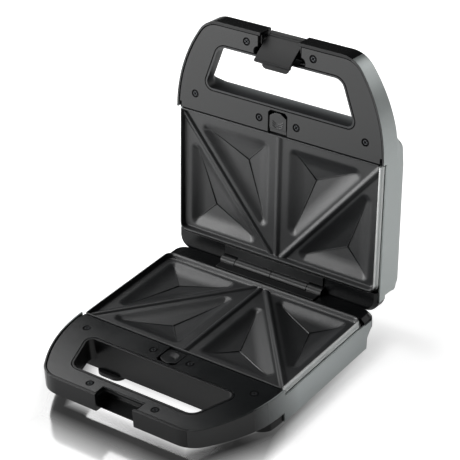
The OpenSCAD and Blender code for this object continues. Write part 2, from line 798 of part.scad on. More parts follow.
module base_shell() color("#1b1d1e") in_base() {
    difference() {
        half_body(body_h, base_floor, grip_lip, 0, hinge_z) {
            keeper_block();
            clip_rails();
            reflector_posts(reflector_z + sheet_t, body_h - 1, 8);
        }
        keeper_cut();
        reflector_posts(reflector_z + 4, body_h + 1, screw_d);
        reflector_posts(body_h - 1.6, body_h + 1, screw_head_d + 1.4);
        leaf_holes(base_leaf_xs);
        translate([gland_x, rear_wall_y - wall - 1, -gland_z]) rotate([-90, 0, 0])
            cylinder(h = wall + 2, d = gland_d);
    }
}

// Silver cover of one side of the base, round the handle's corner
module base_side_panel() {
    intersection() {
        slab(meet, far / 4) difference() {
            handle_outline(0, 0, -0.8);
            handle_outline(skin, front_rim, 1);
            front_strip(0);
        }
        handle_depth();
        translate([0, -far / 2, -far / 2]) cube(far);
    }
    bend_z = collar_z + 3;
    translate([half_w - skin, 0, 0]) rotate([90, 0, 90]) linear_extrude(skin)
        polygon([[-3, -rail_z], [panel_drop_y, -rail_z], [panel_drop_y + 4, -slope_z(hinge_z)],
            [panel_end_y, -slope_z(hinge_z)], [panel_end_y - 0.4, -collar_z + 1],
            [panel_end_y - 4.5, -bend_z], [panel_end_y - 8, -bend_z - 4],
            [panel_end_y - 9.5, -body_h], [-3, -body_h]]);
}

module base_side_panel_left() color("#9aa1a0") in_base() mirror([1, 0, 0]) base_side_panel();
module base_side_panel_right() color("#9aa1a0") in_base() base_side_panel();

module base_handle_trim() color("#26292a") in_base()
    trim_plate()
        translate([-slot_hw - keeper_side, -far])
            square([2 * (slot_hw + keeper_side), far - handle_reach + keeper_top + keeper_ledge]);

module base_trim_screws() color("#3a3c3d") in_base() trim_screws();
module base_plate() color("#303233") in_base() cooking_plate();
module base_reflector() color("#c4c7c8") in_base() reflector();
module base_heater() color("#6e6a66") in_base() heater();
module base_terminals() color("#e4e0d6") in_base() terminals();

// Bimetal switch: round capsule with two tabs, screwed under the reflector
module base_thermostat() color("#b9b3a6") in_base() translate([-36, plate_d / 2 - 4, -reflector_z - sheet_t]) {
    translate([0, 0, -1]) linear_extrude(1) difference() {
        union() {
            circle(8.5);
            translate([-14, -4]) square([28, 8]);
        }
        for (s = [-1, 1]) translate([s * 11.5, 0]) circle(1.6);
    }
    translate([0, 0, -6.5]) cylinder(h = 5.6, d = 15);
    for (s = [-1, 1]) translate([s * 4 - 0.4, -12, -5.6]) cube([0.8, 5.5, 4]);
}

module base_thermal_fuse() color("#d8c08a") in_base()
    translate([20, plate_d / 2 - 6, -reflector_z - sheet_t - 2.6]) rotate([0, 90, 0]) {
        cylinder(h = 11, d = 5.2);
        translate([0, 0, -9]) cylinder(h = 29, d = 1);
    }

module base_release_clip() color("#26292a") in_base() release_clip();
module base_clip_spring() color("#b0b4b6") in_base() clip_spring();

module cord_gland() color("#101112") in_base()
    translate([gland_x, rear_wall_y, -gland_z]) rotate([-90, 0, 0]) difference() {
        union() {
            translate([0, 0, -wall - 1.5]) cylinder(h = wall + 2, d = gland_d - 0.1);
            cylinder(h = 3, d = gland_d + 4);
            translate([0, 0, -wall - 3]) cylinder(h = 2.8, d = gland_d + 2);
        }
        translate([0, 0, -wall - 4]) cylinder(h = wall + 9, d = 7);
    }

module rubber_feet() color("#151617") in_base() slab(body_h, floor_z)
    for (p = foot_spots) translate(p)
        plan_box(foot_w / 2, -foot_d / 2, foot_d / 2, foot_d / 2 - 0.5, foot_d / 2 - 0.5);

module bottom_screws() color("#9c9fa0") in_base()
    for (s = [-1, 1], p = post_spots) translate([s * p[0], p[1], -body_h + 1.6]) {
        translate([0, 0, -1.3]) cylinder(h = 1.2, d = screw_head_d);
        translate([0, 0, -0.2]) cylinder(h = 6, d = screw_d - 0.1);
    }

module base_hinge_bracket() color("#232627") in_base() difference() {
    union() {
        for (s = [0, 1]) mirror([s, 0, 0]) knuckle(hinge_mid + knuckle_gap, hinge_hl);
        leaf(hinge_mid + knuckle_gap, hinge_hl - 1.5);
    }
    hinge_bore(0);
    leaf_holes(base_leaf_xs);
}

module hinge_pin() color("#8d9092") in_base() intersection() {
    hinge_bore(-2 * pin_play);
    translate([-hinge_hl, 0, -far / 2]) cube([2 * hinge_hl, far, far]);
}

module hinge_screws() color("#9c9fa0") in_base() leaf_screws(base_leaf_xs);

// ---------- lid ----------

lid_depth = handle_rear_t - skin - fit;

module lid_frame() color("#1b1d1e") in_lid() difference() {
    half_body(lid_depth, -1, grip_lip - skin - fit, skin + fit, -hinge_z) {
        latch_cheeks();
        clip_rails();
    }
    latch_slot();
    latch_bore(latch_pin_d + 2 * pin_play, far / 4);
    leaf_holes(lid_leaf_xs);
}

// Dome with rounded upper edges, drawn in by d
dome_rear_y = panel_end_y + 2;
module dome(d) {
    r = dome_r - d;
    top = -(dome_h - dome_r);
    front_hw = -side_cx + sqrt(pow(side_r, 2) - pow(dome_front_y + dome_r, 2));
    hull() for (s = [-1, 1]) {
        translate([s * (half_w - rear_r), dome_rear_y - rear_r, top]) {
            rotate_extrude($fn = 40) intersection() {
                translate([rear_r - dome_r, 0]) circle(r, $fn = 32);
                translate([0, -r]) square([rear_r, 2 * r]);
            }
            cylinder(h = -top - rail_z + 1, r = rear_r - d, $fn = 40);
        }
        translate([s * (half_w - dome_r), 0, top]) {
            sphere(r, $fn = 32);
            cylinder(h = -top - rail_z + 1, r = r, $fn = 32);
        }
        translate([s * (front_hw - dome_r), dome_front_y + dome_r, top]) {
            sphere(r, $fn = 32);
            cylinder(h = -top - rail_z + 1, r = r, $fn = 32);
        }
    }
}

module lid_cover() color("#aab1b0") in_lid() {
    difference() {
        union() {
            intersection() {
                slab(meet, far / 4) handle_outline(0, 0, -0.8);
                handle_depth();
            }
            dome(0);
            both_sides() translate([half_w - skin, plate_d - 30, -collar_z - fit])
                cube([skin, panel_end_y - plate_d + 30, collar_z + fit]);
        }
        difference() {
            intersection() {
                slab(0, far / 4) handle_outline(skin, front_rim, 1);
                handle_depth(skin);
            }
            slab(trim_z, far / 4) grip_outline(grip_lip - skin);
        }
        difference() {
            dome(skin);
            slab(trim_z, handle_rear_t) intersection() {
                grip_outline(grip_lip - skin);
                translate([-far / 2, -far]) square([far, far + tub_front_y + 2 * skin]);
            }
        }
        // open towards the plate, and over the rear deck and its collar
        slab(-1, rail_z) translate([-far / 2, -0.8]) square(far);
        slab(-1, collar_z + fit) {
            translate([-far / 2, panel_end_y]) square(far);
            translate([skin - half_w, plate_d - 20]) square([2 * (half_w - skin), far]);
        }
        across(far / 2)
            polygon([[panel_drop_y, 1], [panel_drop_y, -rail_z], [panel_drop_y + 4, -slope_z(-hinge_z)],
                [far, -slope_z(-hinge_z)], [far, 1]]);
        slab(0, far / 4) intersection() {
            front_strip();
            translate([-far / 2, -far]) square([far, far - handle_reach + strip_d + fit]);
        }
        slab(0, far / 4) grip_outline(grip_lip);
        latch_slot();
        for (s = [-1, 1]) translate([s * lamp_x, lamp_y, -dome_h - 1]) cylinder(h = 5, d = lamp_d + 0.2);
    }
    reflector_posts(reflector_z + sheet_t, dome_h - skin + eps, 8);
}

lamp_x = 9;
lamp_y = 0;
lamp_d = 6;
module lamp(s) translate([s * lamp_x, lamp_y, -dome_h - 0.6]) {
    cylinder(h = 4, d = lamp_d);
    translate([0, 0, 0.6 + skin + fit]) cylinder(h = 1.2, d = lamp_d + 3);
}
module power_lamp() color("#b51f1f") in_lid() lamp(-1);
module ready_lamp() color("#2f9a45") in_lid() lamp(1);

slot_side = 2.4;                        // gap of the lid's trim beside the latch slot
slot_flare_y = 3.3;                     // centre of the trim's flared corners in front of the opening
module lid_handle_trim() color("#2b2e2f") in_lid()
    trim_plate() {
        translate([-slot_hw - slot_side, -far])
            square([2 * (slot_hw + slot_side), far + grip_front_y - slot_flare_y]);
        for (s = [-1, 1]) translate([s * (slot_hw + slot_side - 0.1), grip_front_y - slot_flare_y])
            circle(2 * slot_side);
        translate([-slot_hw - slot_side, grip_front_y - slot_flare_y - 0.7])
            square([2 * (slot_hw + slot_side), slot_flare_y + 2.7]);
    }
module lid_trim_screws() color("#3a3c3d") in_lid() trim_screws();
module lid_plate() color("#303233") in_lid() cooking_plate();
module lid_reflector() color("#c4c7c8") in_lid() reflector();
module lid_heater() color("#6e6a66") in_lid() heater();
module lid_terminals() color("#e4e0d6") in_lid() terminals();
module lid_release_clip() color("#26292a") in_lid() release_clip();
module lid_clip_spring() color("#b0b4b6") in_lid() clip_spring();

module lid_hinge_bracket() color("#232627") in_base() turned(open_angle) difference() {
    union() {
        for (s = [0, 1]) mirror([s, 0, 0]) knuckle(knuckle_gap / 2, hinge_mid);
        mirror([0, 0, 1]) leaf(knuckle_gap / 2, hinge_mid);
    }
    hinge_bore(0);
    mirror([0, 0, 1]) leaf_holes(lid_leaf_xs);
}

module latch_pin() color("#8d9092") in_lid() latch_bore(latch_pin_d, latch_pin_len);

module latch() color("#232627") in_lid()
    translate([0, latch_y, -latch_rise]) rotate([-latch_hang, 0, 0]) mirror([0, 0, 1]) latch_body();

base_shell();
base_side_panel_left();
base_side_panel_right();
base_handle_trim();
base_trim_screws();
base_plate();
base_reflector();
base_heater();
base_terminals();
base_thermostat();
base_thermal_fuse();
base_release_clip();
base_clip_spring();
cord_gland();
rubber_feet();
bottom_screws();
base_hinge_bracket();
hinge_pin();
hinge_screws();
lid_frame();
lid_cover();
lid_handle_trim();
lid_trim_screws();
lid_plate();
lid_reflector();
lid_heater();
lid_terminals();
lid_release_clip();
lid_clip_spring();
lid_hinge_bracket();
power_lamp();
ready_lamp();
latch_pin();
latch();
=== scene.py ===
"""Sandwich toaster: materials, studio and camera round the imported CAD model. Metres."""
import json
import math

import bmesh
import bpy
import numpy as np
from mathutils import Matrix, Vector


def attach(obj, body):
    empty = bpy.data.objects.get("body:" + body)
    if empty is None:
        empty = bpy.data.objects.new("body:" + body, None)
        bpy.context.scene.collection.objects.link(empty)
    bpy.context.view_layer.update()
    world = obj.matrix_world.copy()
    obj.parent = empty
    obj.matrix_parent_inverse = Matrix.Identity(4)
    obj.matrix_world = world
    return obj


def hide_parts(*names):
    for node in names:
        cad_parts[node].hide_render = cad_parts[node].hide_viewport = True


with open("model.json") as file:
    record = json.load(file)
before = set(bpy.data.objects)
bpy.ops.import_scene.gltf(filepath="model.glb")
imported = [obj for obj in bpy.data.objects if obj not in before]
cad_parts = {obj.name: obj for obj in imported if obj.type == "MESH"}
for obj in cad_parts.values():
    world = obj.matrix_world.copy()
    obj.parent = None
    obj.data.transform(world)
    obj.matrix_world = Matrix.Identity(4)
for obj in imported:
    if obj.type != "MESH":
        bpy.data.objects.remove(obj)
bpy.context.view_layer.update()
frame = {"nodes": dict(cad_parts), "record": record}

MM = 0.001

# ---------- camera ----------

PHOTO_SIZE = 460            # width and height of the photograph, pixels
FOCAL_PX = 1769.5           # focal length in its pixels
CENTRE_PX = (231.3, 229.5)  # where the lens axis meets it
SENSOR = 36.0               # mm
AZIMUTH, ELEVATION, ROLL = 37.45, 30.86, -2.94      # degrees
CAMERA_AT = Vector((860.5, -1090.1, 967.5)) * MM
CAMERA_SEES = 50            # metres


def make_camera():
    """Camera at the photograph's viewing angle."""
    a, e, r = (math.radians(v) for v in (AZIMUTH, ELEVATION, ROLL))
    back = Vector((math.sin(a) * math.cos(e), -math.cos(a) * math.cos(e), math.sin(e)))
    level = Vector((0, 0, 1)).cross(back).normalized()
    upright = back.cross(level)
    x_axis = level * math.cos(r) + upright * math.sin(r)
    y_axis = upright * math.cos(r) - level * math.sin(r)
    data = bpy.data.cameras.new("camera")
    data.sensor_width = SENSOR
    data.lens = FOCAL_PX * SENSOR / PHOTO_SIZE
    data.shift_x = (PHOTO_SIZE / 2 - CENTRE_PX[0]) / PHOTO_SIZE
    data.shift_y = (CENTRE_PX[1] - PHOTO_SIZE / 2) / PHOTO_SIZE
    data.clip_end = CAMERA_SEES
    camera = bpy.data.objects.new("camera", data)
    axes = Matrix((x_axis, y_axis, back)).transposed().to_4x4()
    camera.matrix_world = Matrix.Translation(CAMERA_AT) @ axes
    bpy.context.scene.collection.objects.link(camera)
    bpy.context.scene.camera = camera


# ---------- node helpers ----------

EDGE_SAMPLES = 6


class Tree:
    """Builds a material's node tree with short calls."""

    def __init__(self, name):
        self.material = bpy.data.materials.new(name)
        self.material.use_nodes = True
        self.tree = self.material.node_tree
        self.tree.nodes.clear()
        self.out = self.add("ShaderNodeOutputMaterial")
        self.place = self.add("ShaderNodeTexCoord").outputs["Object"]

    def add(self, kind, **settings):
        node = self.tree.nodes.new(kind)
        for key, value in settings.items():
            setattr(node, key, value)
        return node

    def put(self, value, socket):
        """Links a socket, or sets a plain value."""
        if isinstance(value, bpy.types.NodeSocket):
            self.tree.links.new(value, socket)
        else:
            socket.default_value = value

    def noise(self, scale, detail=3, roughness=0.5, stretch=(1, 1, 1)):
        """Noise of a scale per metre, finer along the axes with more stretch."""
        mapping = self.add("ShaderNodeMapping")
        self.put(self.place, mapping.inputs["Vector"])
        mapping.inputs["Scale"].default_value = stretch
        node = self.add("ShaderNodeTexNoise")
        self.put(mapping.outputs[0], node.inputs["Vector"])
        node.inputs["Scale"].default_value = scale
        node.inputs["Detail"].default_value = detail
        node.inputs["Roughness"].default_value = roughness
        return node.outputs["Fac"]

    def remap(self, value, low, high, to_low, to_high):
        """Value from low to high taken to the second range, and no further."""
        node = self.add("ShaderNodeMapRange")
        self.put(value, node.inputs["Value"])
        sockets = ("From Min", "From Max", "To Min", "To Max")
        for socket, number in zip(sockets, (low, high, to_low, to_high)):
            self.put(number, node.inputs[socket])
        return node.outputs["Result"]

    def mix_colour(self, factor, a, b):
        """Mix of two colours; a mix node's colour sockets are its inputs 6 and 7 and its output 2."""
        node = self.add("ShaderNodeMix", data_type="RGBA")
        self.put(factor, node.inputs[0])
        self.put(a, node.inputs[6])
        self.put(b, node.inputs[7])
        return node.outputs[2]

    def maths(self, operation, a, b=0.0):
        node = self.add("ShaderNodeMath", operation=operation)
        self.put(a, node.inputs[0])
        self.put(b, node.inputs[1])
        return node.outputs[0]

    def times(self, first, *others):
        """Product of several values."""
        for other in others:
            first = self.maths("MULTIPLY", first, other)
        return first

    def most(self, first, *others):
        """Greatest of several values."""
        for other in others:
            first = self.maths("MAXIMUM", first, other)
        return first

    def dot(self, a, b):
        node = self.add("ShaderNodeVectorMath", operation="DOT_PRODUCT")
        self.put(a, node.inputs[0])
        self.put(b, node.inputs[1])
        return node.outputs["Value"]

    def axes(self):
        """The three object coordinates as single values."""
        node = self.add("ShaderNodeSeparateXYZ")
        self.put(self.place, node.inputs[0])
        return node.outputs

    def bump(self, height, distance, normal=None):
        """Normal of a relief that is distance high, in metres."""
        node = self.add("ShaderNodeBump")
        node.inputs["Distance"].default_value = distance
        self.put(height, node.inputs["Height"])
        if normal is not None:
            self.put(normal, node.inputs["Normal"])
        return node.outputs[0]

    def soft_edges(self, radius):
        """Normal with the edges rounded, so that they catch light as moulded edges do."""
        node = self.add("ShaderNodeBevel")
        node.samples = EDGE_SAMPLES
        node.inputs["Radius"].default_value = radius
        return node.outputs[0]

    def surface(self, **inputs):
        """Ends the tree in a Principled shader with these inputs, spaces in their names written as _."""
        shader = self.add("ShaderNodeBsdfPrincipled")
        for key, value in inputs.items():
            self.put(value, shader.inputs[key.replace("_", " ")])
        self.put(shader.outputs[0], self.out.inputs["Surface"])


def srgb(r, g, b):
    """Linear colour of an sRGB colour given from 0 to 255."""
    def linear(v):
        v /= 255
        return v / 12.92 if v <= 0.04045 else ((v + 0.055) / 1.055) ** 2.4
    return (linear(r), linear(g), linear(b), 1)


def shaded(colour, factor):
    """A colour made darker or lighter."""
    return tuple(min(1, c * factor) for c in colour[:3]) + (1,)


# ---------- materials ----------

# Noise scales are per metre; heights of relief and radii of edges are in metres.

MOULD_EDGE, GLOSS_SPREAD = 0.0006, 0.035    # moulded plastic: rounding of edges, spread of roughness


def moulded_plastic(name, colour, rough, grain=0.00003, grain_scale=2600, gloss=0.5):
    """Moulded plastic: fine spark-eroded grain, soft mottling of gloss and tone."""
    t = Tree(name)
    mottle = t.noise(28, detail=4, roughness=0.6)
    fine = t.noise(grain_scale, detail=2, roughness=0.55)
    t.surface(
        Base_Color=t.mix_colour(t.remap(mottle, 0.3, 0.7, 0, 1), shaded(colour, 0.86), colour),
        Specular_IOR_Level=gloss,
        Roughness=t.remap(mottle, 0.25, 0.75, rough - GLOSS_SPREAD, rough + GLOSS_SPREAD),
        Normal=t.bump(fine, grain, normal=t.soft_edges(MOULD_EDGE)))
    return t.material


# Silver paint: noise scales of its flakes and its orange peel, the peel's height, the rounding
# of edges, how much paler the flakes are, and the noise range they take up
FLAKES, PEEL, PEEL_H, PAINT_EDGE = 3800, 420, 0.00003, 0.0009
FLAKE_LIGHT, FLAKE_RANGE = 1.12, (0.35, 0.7)


def satin_paint(name, colour, rough, metallic):
    """Silver paint: fine flakes and a faint orange peel."""
    t = Tree(name)
    flakes = t.noise(FLAKES, detail=1, roughness=0.6)
    peel = t.noise(PEEL, detail=2)
    tone = t.noise(9)
    share = t.remap(flakes, *FLAKE_RANGE, 0, 1)
    t.surface(
        Base_Color=t.mix_colour(share, shaded(colour, 0.92), shaded(colour, FLAKE_LIGHT)),
        Metallic=metallic,
        Roughness=t.remap(tone, 0.3, 0.7, rough - 0.02, rough + 0.03),
        Normal=t.bump(peel, PEEL_H, normal=t.soft_edges(PAINT_EDGE)))
    return t.material


def side_panel_painted_reflection(name, dark, silver, from_y, to_y):
    """Paint of the lower side panels: black at the handle's corner, silver behind it, joined by a long fade
    that is a painted dark reflection.
    """
    t = Tree(name)
    share = t.remap(t.axes()[1], from_y, to_y, 0, 1)
    flakes = t.noise(FLAKES, detail=1, roughness=0.6)
    peel = t.noise(PEEL, detail=2)
    pale = t.mix_colour(t.remap(flakes, *FLAKE_RANGE, 0, 1), silver, shaded(silver, FLAKE_LIGHT))
    t.surface(
        Base_Color=t.mix_colour(share, dark, pale),
        Metallic=t.remap(share, 0, 1, 0, 0.75),
        Roughness=t.remap(share, 0, 1, 0.24, 0.36),
        Normal=t.bump(peel, PEEL_H, normal=t.soft_edges(PAINT_EDGE)))
    return t.material


def painted_shade_wall(name, front, back, front_y, back_y):
    """Wall of the lid's finger opening in painted shade: dark at the trim, paler towards its back."""
    t = Tree(name)
    grain = t.noise(900)
    share = t.maths("POWER", t.remap(t.axes()[1], front_y, back_y, 0, 1), 1.6)
    t.surface(
        Base_Color=t.mix_colour(share, front, back), Roughness=0.5, Normal=t.bump(grain, 0.00002))
    return t.material


COAT_DARK, COAT_LIGHT, BARE = srgb(28, 29, 30), srgb(44, 45, 46), srgb(228, 230, 229)
BARE_FROM, BARE_TO = 0.0014, 0.0011     # metres in from a plate's sides, where the coating ends


def nonstick_coating(name, half_width):
    """Non-stick coating over cast aluminium: speckled dark grey, bare metal at the rim's outer sides."""
    t = Tree(name)
    speck = t.noise(1500, roughness=0.65)
    cloud = t.noise(40, detail=4, roughness=0.55)
    coat = t.mix_colour(t.remap(speck, 0.35, 0.68, 0, 1), COAT_DARK, COAT_LIGHT)
    across = t.maths("ABSOLUTE", t.axes()[0])
    side = t.remap(across, half_width - BARE_FROM, half_width - BARE_TO, 0, 1)
    t.surface(
        Base_Color=t.mix_colour(side, coat, BARE),
        Metallic=t.remap(side, 0, 1, 0.0, 0.9),
        Roughness=t.remap(cloud, 0.3, 0.7, 0.31, 0.38),
        Normal=t.bump(speck, 0.00008))
    return t.material


def brushed_metal(name, colour, rough, stretch=(60, 900, 900)):
    """Turned or rolled steel with fine lines."""
    t = Tree(name)
    lines = t.noise(1, detail=4, roughness=0.6, stretch=stretch)
    t.surface(
        Base_Color=colour, Metallic=1.0,
        Roughness=t.remap(lines, 0.3, 0.7, rough - 0.06, rough + 0.08),
        Normal=t.bump(lines, 0.00002))
    return t.material


def tinted_lens(name, colour):
    """Clear tinted cap of a pilot lamp."""
    t = Tree(name)
    ripple = t.noise(900, detail=1)
    t.surface(
        Base_Color=colour, Roughness=t.remap(ripple, 0.3, 0.7, 0.08, 0.16),
        Transmission_Weight=0.35, Coat_Weight=0.6, Normal=t.bump(ripple, 0.00002))
    return t.material


def ceramic(name, colour):
    """Fired ceramic, a little uneven in tone."""
    t = Tree(name)
    tone = t.noise(260)
    t.surface(
        Base_Color=t.mix_colour(tone, colour, shaded(colour, 1.1)), Roughness=0.45,
        Normal=t.bump(tone, 0.00005))
    return t.material


BLACK, DEEP_BLACK, PAINTED_SHADE_BLACK = srgb(20, 22, 23), srgb(14, 15, 16), srgb(4, 4, 5)
# The side panels' fade from black to silver is a painted dark reflection of the floor in front.
PANEL_REFLECTION_FADE = (-42, 20)          # mm in the halves' own frame, where the side panels turn silver
# The opening's walls carry painted shade, which lifts towards their back.
WALL_SHADE_FADE = (0.119, 0.139)      # metres, where the opening's walls turn pale


def make_materials():
    """Every material by its name."""
    panel_reflection_fade = [(y - MID_Y) * MM for y in PANEL_REFLECTION_FADE]
    return {
        "black_moulding": moulded_plastic("black_moulding", BLACK, 0.24),
        # A darker, less glossy copy of the black moulding for the shell and frame; its darker tone is painted
        # shade where they lie in shadow round the hinge.
        "deep_moulding": moulded_plastic("deep_moulding", DEEP_BLACK, 0.24, gloss=0.3),
        "black_trim": moulded_plastic("black_trim", BLACK, 0.15),
        "silver_cover": satin_paint("silver_cover", srgb(190, 196, 195), 0.36, metallic=0.75),
        # Opening walls: painted shade, dark at the trim and pale deeper in.
        "opening_wall": painted_shade_wall("opening_wall", srgb(34, 36, 38), srgb(150, 154, 155), *WALL_SHADE_FADE),
        # Black for painted shade: the seams round the trims and the recesses of the trim screws.
        "seam": moulded_plastic("seam", PAINTED_SHADE_BLACK, 0.6, gloss=0.03),
        "latch_plastic": moulded_plastic("latch_plastic", DEEP_BLACK, 0.5, gloss=0.3),
        # Side panels: black corner and silver back, the fade between them a painted dark reflection.
        "side_panel": side_panel_painted_reflection("side_panel", BLACK, srgb(188, 194, 194), *panel_reflection_fade),
        "nonstick_plate": nonstick_coating("nonstick_plate", PLATE_HW * MM),
        "reflector_sheet": brushed_metal("reflector_sheet", srgb(205, 208, 210), 0.3),
        "heater_sheath": brushed_metal("heater_sheath", srgb(96, 90, 84), 0.5),
        "ceramic": ceramic("ceramic", srgb(220, 214, 200)),
        "switch_metal": brushed_metal("switch_metal", srgb(190, 182, 160), 0.35),
        "rubber": moulded_plastic("rubber", srgb(24, 24, 25), 0.7, grain=0.00006, grain_scale=1400),
        "red_lens": tinted_lens("red_lens", srgb(190, 30, 28)),
        "green_lens": tinted_lens("green_lens", srgb(50, 150, 70)),
        "hinge_metal": moulded_plastic(
            "hinge_metal", srgb(18, 19, 20), 0.36, grain=0.00004, grain_scale=2200, gloss=0.4),
        "dark_screw": brushed_metal("dark_screw", srgb(78, 80, 82), 0.42),
        "steel": brushed_metal("steel", srgb(190, 192, 194), 0.28),
    }


# Nodes whose finish is a variant of the one in their slot
OWN_PAINT = {"base_side_panel_left": "side_panel", "base_side_panel_right": "side_panel",
             "latch": "latch_plastic", "base_shell": "deep_moulding", "lid_frame": "deep_moulding"}


def dress_nodes(materials):
    """Gives every CAD node the material of its slot in the record."""
    for row in frame["record"]["subparts"]:
        mesh = frame["nodes"][row["node"]].data
        mesh.materials.clear()
        mesh.materials.append(materials[OWN_PAINT.get(row["node"], row["material_slot"])])


def paint_cover(wall, edge):
    """Walls inside the lid's finger opening in painted shade, and a black edge next to the trim."""
    mesh = frame["nodes"]["lid_cover"].data
    mesh.materials.append(wall)
    mesh.materials.append(edge)
    middles = np.array([tuple(p.center) for p in mesh.polygons])
    x, y = from_lid(middles).T[:2]
    front, rear = OPENING_Y
    inside = (np.abs(x) < OPENING_HW + WALL_NEAR) & (y > front - WALL_NEAR) & (y < rear + WALL_NEAR)
    deepest = np.array([from_lid([tuple(mesh.vertices[i].co) for i in p.vertices])[:, 2].min()
                        for p in mesh.polygons])
    rim = deepest > -EDGE_DEPTH
    for polygon, in_wall, in_rim in zip(mesh.polygons, inside, rim):
        polygon.material_index = 1 if in_wall else 2 if in_rim else 0


# ---------- frames of the toaster's halves ----------

# A half's own frame, mm: x across, y 0 at the plate's front edge and z 0 where the halves meet.
OPENING_HW, OPENING_FRONT_HW = 88.1, 70.4       # half widths of the finger opening, rear and front
OPENING_Y = (-74.9, -26.9)                      # its front and rear
WALL_NEAR = 1                                   # faces this near the opening are its walls
EDGE_DEPTH = 2.5                                # black edge of the lid's cover
MID_Y, FLOOR_Z = 53.635, 38.0                   # from the halves' own frame to the object's
HINGE_Y, HINGE_Z = 149.2, -0.8                  # hinge axis
OPEN = math.radians(95.5)                       # how far the lid stands open at rest
TINY = 1e-6                                     # keeps lengths that are divided by above zero


def in_base(points):
    """Points of the lower half's own frame, mm, into the object frame, metres."""
    return (np.array(points, float) + (0, -MID_Y, FLOOR_Z)) * MM


def from_base(points):
    """Points of the object frame, metres, back into the lower half's own frame, mm."""
    return np.array(points, float) / MM + (0, MID_Y, -FLOOR_Z)


def in_lid(points):
    """Points of the lid, given as if it were the lower half, into the object frame."""
    x, y, z = np.array(points, float).T
    y, z = y - HINGE_Y, -z - HINGE_Z
    c, s = math.cos(OPEN), math.sin(OPEN)
    turned = np.stack((x, y * c + z * s + HINGE_Y, -y * s + z * c + HINGE_Z), 1)
    return in_base(turned)


def from_lid(points):
    """Points of the object frame, metres, back into the lid's own frame, mm."""
    x, y, z = from_base(points).T
    y, z = y - HINGE_Y, z - HINGE_Z
    c, s = math.cos(OPEN), math.sin(OPEN)
    return np.stack((x, y * c - z * s + HINGE_Y, -(y * s + z * c) - HINGE_Z), 1)


# Ways into and out of the object frame for each half's own
HALVES = {"base": (in_base, from_base), "lid": (in_lid, from_lid)}


def add_mesh(name, points, faces, material, smooth=True):
    """New object from points in metres."""
    mesh = bpy.data.meshes.new(name)
    mesh.from_pydata([tuple(p) for p in points], [], faces)
    mesh.validate()
    mesh.materials.append(material)
    if smooth:
        mesh.polygons.foreach_set("use_smooth", [True] * len(mesh.polygons))
    obj = bpy.data.objects.new(name, mesh)
    bpy.context.scene.collection.objects.link(obj)
    return obj


MERGE = 0.00001                 # metres, points closer than this are one


def tidy_normals(obj):
    """Merges doubles and turns every face outwards."""
    work = bmesh.new()
    work.from_mesh(obj.data)
    bmesh.ops.remove_doubles(work, verts=work.verts, dist=MERGE)
    bmesh.ops.dissolve_degenerate(work, edges=work.edges, dist=MERGE)
    bmesh.ops.recalc_face_normals(work, faces=work.faces)
    work.to_mesh(obj.data)
    work.free()


def soft_step(v, low, high):
    """From 0 at low to 1 at high, level at both ends."""
    t = np.clip((v - low) / (high - low), 0, 1)
    return t * t * (3 - 2 * t)


def soft_min(a, b, k):
    """Lesser of two values, rounded over where they differ by less than k."""
    h = np.clip(0.5 + 0.5 * (b - a) / k, 0, 1)
    return b + (a - b) * h - k * h * (1 - h)


def soft_max(a, b, k):
    """Greater of two values, rounded over likewise."""
    return -soft_min(-a, -b, k)


# ---------- lid's cover ----------

# All mm in the lid's own frame, where the cover's back lies at z -39.
COVER_HW, COVER_REAR = 118.4, 145.0
CORNER, CORNER_R, CORNER_TO = (108.4, 134.8), 10.0, 3.5    # corners at the hinge: centre, radius, new radius
CORNER_FROM = -16.5                                        # they are tightened behind this height
EDGE, EDGE_R, EDGE_TO = (109.4, 135.8, -30.0), 9.0, 4.0    # the same for the edge round the back
BACK_Z, BACK_DEPTH = -24.0, 15.0                           # the raised back
BACK_GROW, GROW_FROM, GROW_OVER = 2.5, 20, 125             # what it gains in depth towards the hinge
BACK_SHIFT, BACK_ROUND, BACK_ARC = 9.0, 12.0, 0.98         # how its front edge draws back and rounds
SHOULDER_X, SHOULDER_Y = (92, 106), (-28, 45)              # where that sets in sideways, and ends rearwards
ARC_FROM, RISE_FROM = 0.01, 0.01                           # least way past a centre and least rise that count


def tighter(u, v, radius, smaller):
    """Scale that turns a corner arc of one radius, u and v from its centre, into a smaller one."""
    u, v = np.maximum(u, 0), np.maximum(v, 0)
    length = np.maximum(np.hypot(u, v), TINY)
    a, b = u / length, v / length
    flat = radius / np.maximum(np.maximum(a, b), TINY)
    c = radius - smaller
    along = c * (a + b)
    arc = along + np.sqrt(np.maximum(along ** 2 - 2 * c * c + smaller ** 2, 0))
    reach = np.where((a * flat > c) & (b * flat > c), np.minimum(flat, arc), flat)
    return np.where((u > ARC_FROM) & (v > ARC_FROM), reach / radius, 1)


